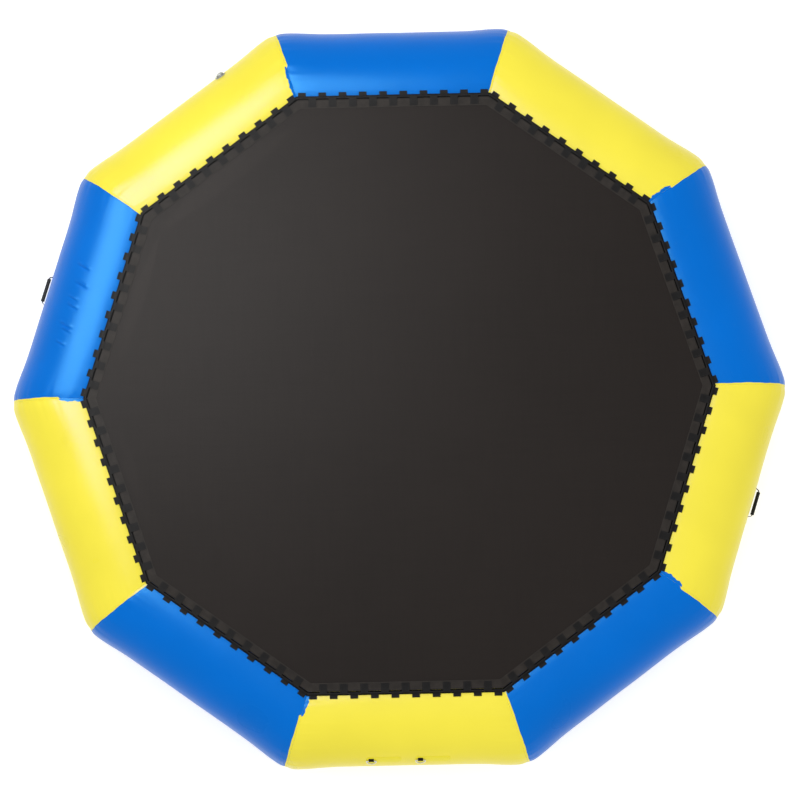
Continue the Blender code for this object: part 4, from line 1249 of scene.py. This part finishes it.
class BOUNCER_OT_valve(bpy.types.Operator):
    """Make the air valve with its cap, tether and spring, and finish its inner parts"""

    bl_idname = "bouncer.valve"
    bl_label = "Air Valve"

    def execute(self, context):
        place = VALVE_SIDE, VALVE_LINE, fittings().valve_along
        grey = moulded("valve_grey", colours().grey, 0.42)
        lid = moulded("cap_grey", colours().grey, 0.38)
        rubber = moulded("tether_rubber", colours().rubber, 0.6)
        pieces = (
            ("valve_shell", valve_body_shape(), grey, "valve_plastic", "valve_body", "ring"),
            ("valve_lid", valve_cap_shape(), lid, "cap_plastic", "valve_cap", "valve_cap_body"),
            ("valve_leash", tether_shape(), rubber, "tether_rubber", "cap_tether", "ring"),
        )
        for name, shape, *how in pieces:
            new_piece(name, on_side(shape, *place), *how, sharp=40)
        dress(("valve_nut", "valve_stem"), grey)
        steel = steel_wire("spring_steel", colours().steel)
        shape = on_side(coil_shape(), *place)
        coil = new_piece("valve_coil", shape, steel, "spring_steel", "valve_spring", body=None)
        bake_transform(coil)
        return {"FINISHED"}


# Stage

FLOOR_REACH = 60.0
FLOOR_GLOW, WORLD_LIGHT, WORLD_SEEN = 0.55, 0.85, 1.0
CAMERA_TARGET, CAMERA_DISTANCE = Vector((0.0025, -0.0243, 0.305)), 17.7
CAMERA_WIDTH, CAMERA_ELEVATION, CAMERA_ROLL = radians(15.245), radians(85.3), radians(-1.2)


def lamp(name, place, target, size, power, diffuse=True, glossy=True):
    """A soft area lamp that faces a target, and may show in diffuse light alone or in reflections alone."""
    light = bpy.data.lights.new(name, "AREA")
    light.shape = "DISK"
    light.size = size
    light.energy = power
    made = bpy.data.objects.new(name, light)
    made.location = place
    made.rotation_euler = (Vector(target) - Vector(place)).to_track_quat("-Z", "Y").to_euler()
    made.visible_diffuse = diffuse
    made.visible_glossy = glossy
    made.visible_camera = False
    bpy.context.scene.collection.objects.link(made)


def seen_directly(tree):
    """1 for rays from the camera, in reflections and through glass, 0 for the rest."""
    rays = node(tree, "ShaderNodeLightPath", {}).outputs
    near = maths(tree, "MAXIMUM", rays["Is Camera Ray"], rays["Is Glossy Ray"])
    return maths(tree, "MAXIMUM", near, rays["Is Transmission Ray"])


def floor_finish():
    """Pale matt floor that keeps shadows: where it is seen, part of its white is its own."""
    white = (1.0, 1.0, 1.0, 1.0)
    material, tree = new_finish("pale_floor", (0.78,) * 3, 0.9, Specular_IOR_Level=0.0, Emission_Color=white)
    own = maths(tree, "MULTIPLY", seen_directly(tree), FLOOR_GLOW)
    tree.links.new(own, tree.nodes["Principled BSDF"].inputs["Emission Strength"])
    return material


class BOUNCER_OT_stage(bpy.types.Operator):
    """Make the floor, the light and the camera"""

    bl_idname = "bouncer.stage"
    bl_label = "Stage"

    def execute(self, context):
        scene = context.scene
        mesh = bpy.data.meshes.new("floor")
        reach, low = FLOOR_REACH, CAD_BOUNDS[0].z - 0.0005
        corners = [(x * reach, y * reach, low) for x, y in ((-1, -1), (1, -1), (1, 1), (-1, 1))]
        mesh.from_pydata(corners, [], [(0, 1, 2, 3)])
        mesh.materials.append(floor_finish())
        floor = bpy.data.objects.new("floor", mesh)
        scene.collection.objects.link(floor)

        world = bpy.data.worlds.new("studio")
        world.use_nodes = True
        scene.world = world
        tree = world.node_tree
        background = tree.nodes["Background"]
        strength = remapped(tree, seen_directly(tree), 0.0, 1.0, WORLD_LIGHT, WORLD_SEEN)
        tree.links.new(strength, background.inputs["Strength"])
        background.inputs["Color"].default_value = (1.0, 1.0, 1.0, 1.0)

        lamp("upper_left_sheen", (-1.82, 1.32, 3.2), (-1.82, 1.32, 0.3), 3.1, 450.0, diffuse=False)
        lamp("upper_left_softbox", (-1.9, 1.9, 4.6), (0.0, 0.0, 0.4), 2.2, 45.0, glossy=False)
        lamp("overhead_fill", (0.0, -0.5, 7.5), (0.0, 0.0, 0.3), 5.0, 40.0, glossy=False)

        camera = bpy.data.cameras.new("camera")
        camera.sensor_width = 36.0
        camera.angle = CAMERA_WIDTH
        camera.clip_end = 200.0
        eye = bpy.data.objects.new("camera", camera)
        scene.collection.objects.link(eye)
        back = Vector((0.0, -cos(CAMERA_ELEVATION), sin(CAMERA_ELEVATION)))
        eye.location = CAMERA_TARGET + back * CAMERA_DISTANCE
        eye.rotation_mode = "QUATERNION"
        eye.rotation_quaternion = (-back).to_track_quat("-Z", "Y") @ Quaternion((0.0, 0.0, 1.0), CAMERA_ROLL)
        scene.camera = eye
        scene.view_settings.view_transform = "Standard"
        return {"FINISHED"}


OPERATORS = (
    BOUNCER_OT_tubes,
    BOUNCER_OT_seam_laps,
    BOUNCER_OT_tube_webbing,
    BOUNCER_OT_mat,
    BOUNCER_OT_hem,
    BOUNCER_OT_cord,
    BOUNCER_OT_handles,
    BOUNCER_OT_ladder_rings,
    BOUNCER_OT_mooring_rings,
    BOUNCER_OT_valve,
    BOUNCER_OT_stage,
)


class BOUNCER_PT_panel(bpy.types.Panel):
    """The bouncer's sizes, its colours and what makes its pieces"""

    bl_idname = "BOUNCER_PT_panel"
    bl_label = "Water Bouncer"
    bl_space_type = "VIEW_3D"
    bl_region_type = "UI"
    bl_category = "Bouncer"

    def draw(self, context):
        for group in GROUPS:
            box = self.layout.box()
            values = getattr(context.scene, group)
            for name in values.bl_rna.properties.keys():
                if name not in ("rna_type", "name"):
                    box.prop(values, name)
        for operator in OPERATORS:
            self.layout.operator(operator.bl_idname)


GROUPS = {
    "bouncer_ring": RingSizes,
    "bouncer_lacing": LacingSizes,
    "bouncer_fittings": FittingSizes,
    "bouncer_colours": FinishColours,
}
CLASSES = (*GROUPS.values(), *OPERATORS, BOUNCER_PT_panel)


def register():
    for made in CLASSES:
        bpy.utils.register_class(made)
    for name, group in GROUPS.items():
        setattr(bpy.types.Scene, name, PointerProperty(type=group))


def unregister():
    for name in GROUPS:
        delattr(bpy.types.Scene, name)
    for made in reversed(CLASSES):
        bpy.utils.unregister_class(made)


def main():
    register()
    for operator in OPERATORS:
        group, name = operator.bl_idname.split(".")
        result = getattr(getattr(bpy.ops, group), name)()
        if result != {"FINISHED"}:
            raise RuntimeError(f"{operator.bl_label} wasn't made")


if __name__ == "__main__":
    main()
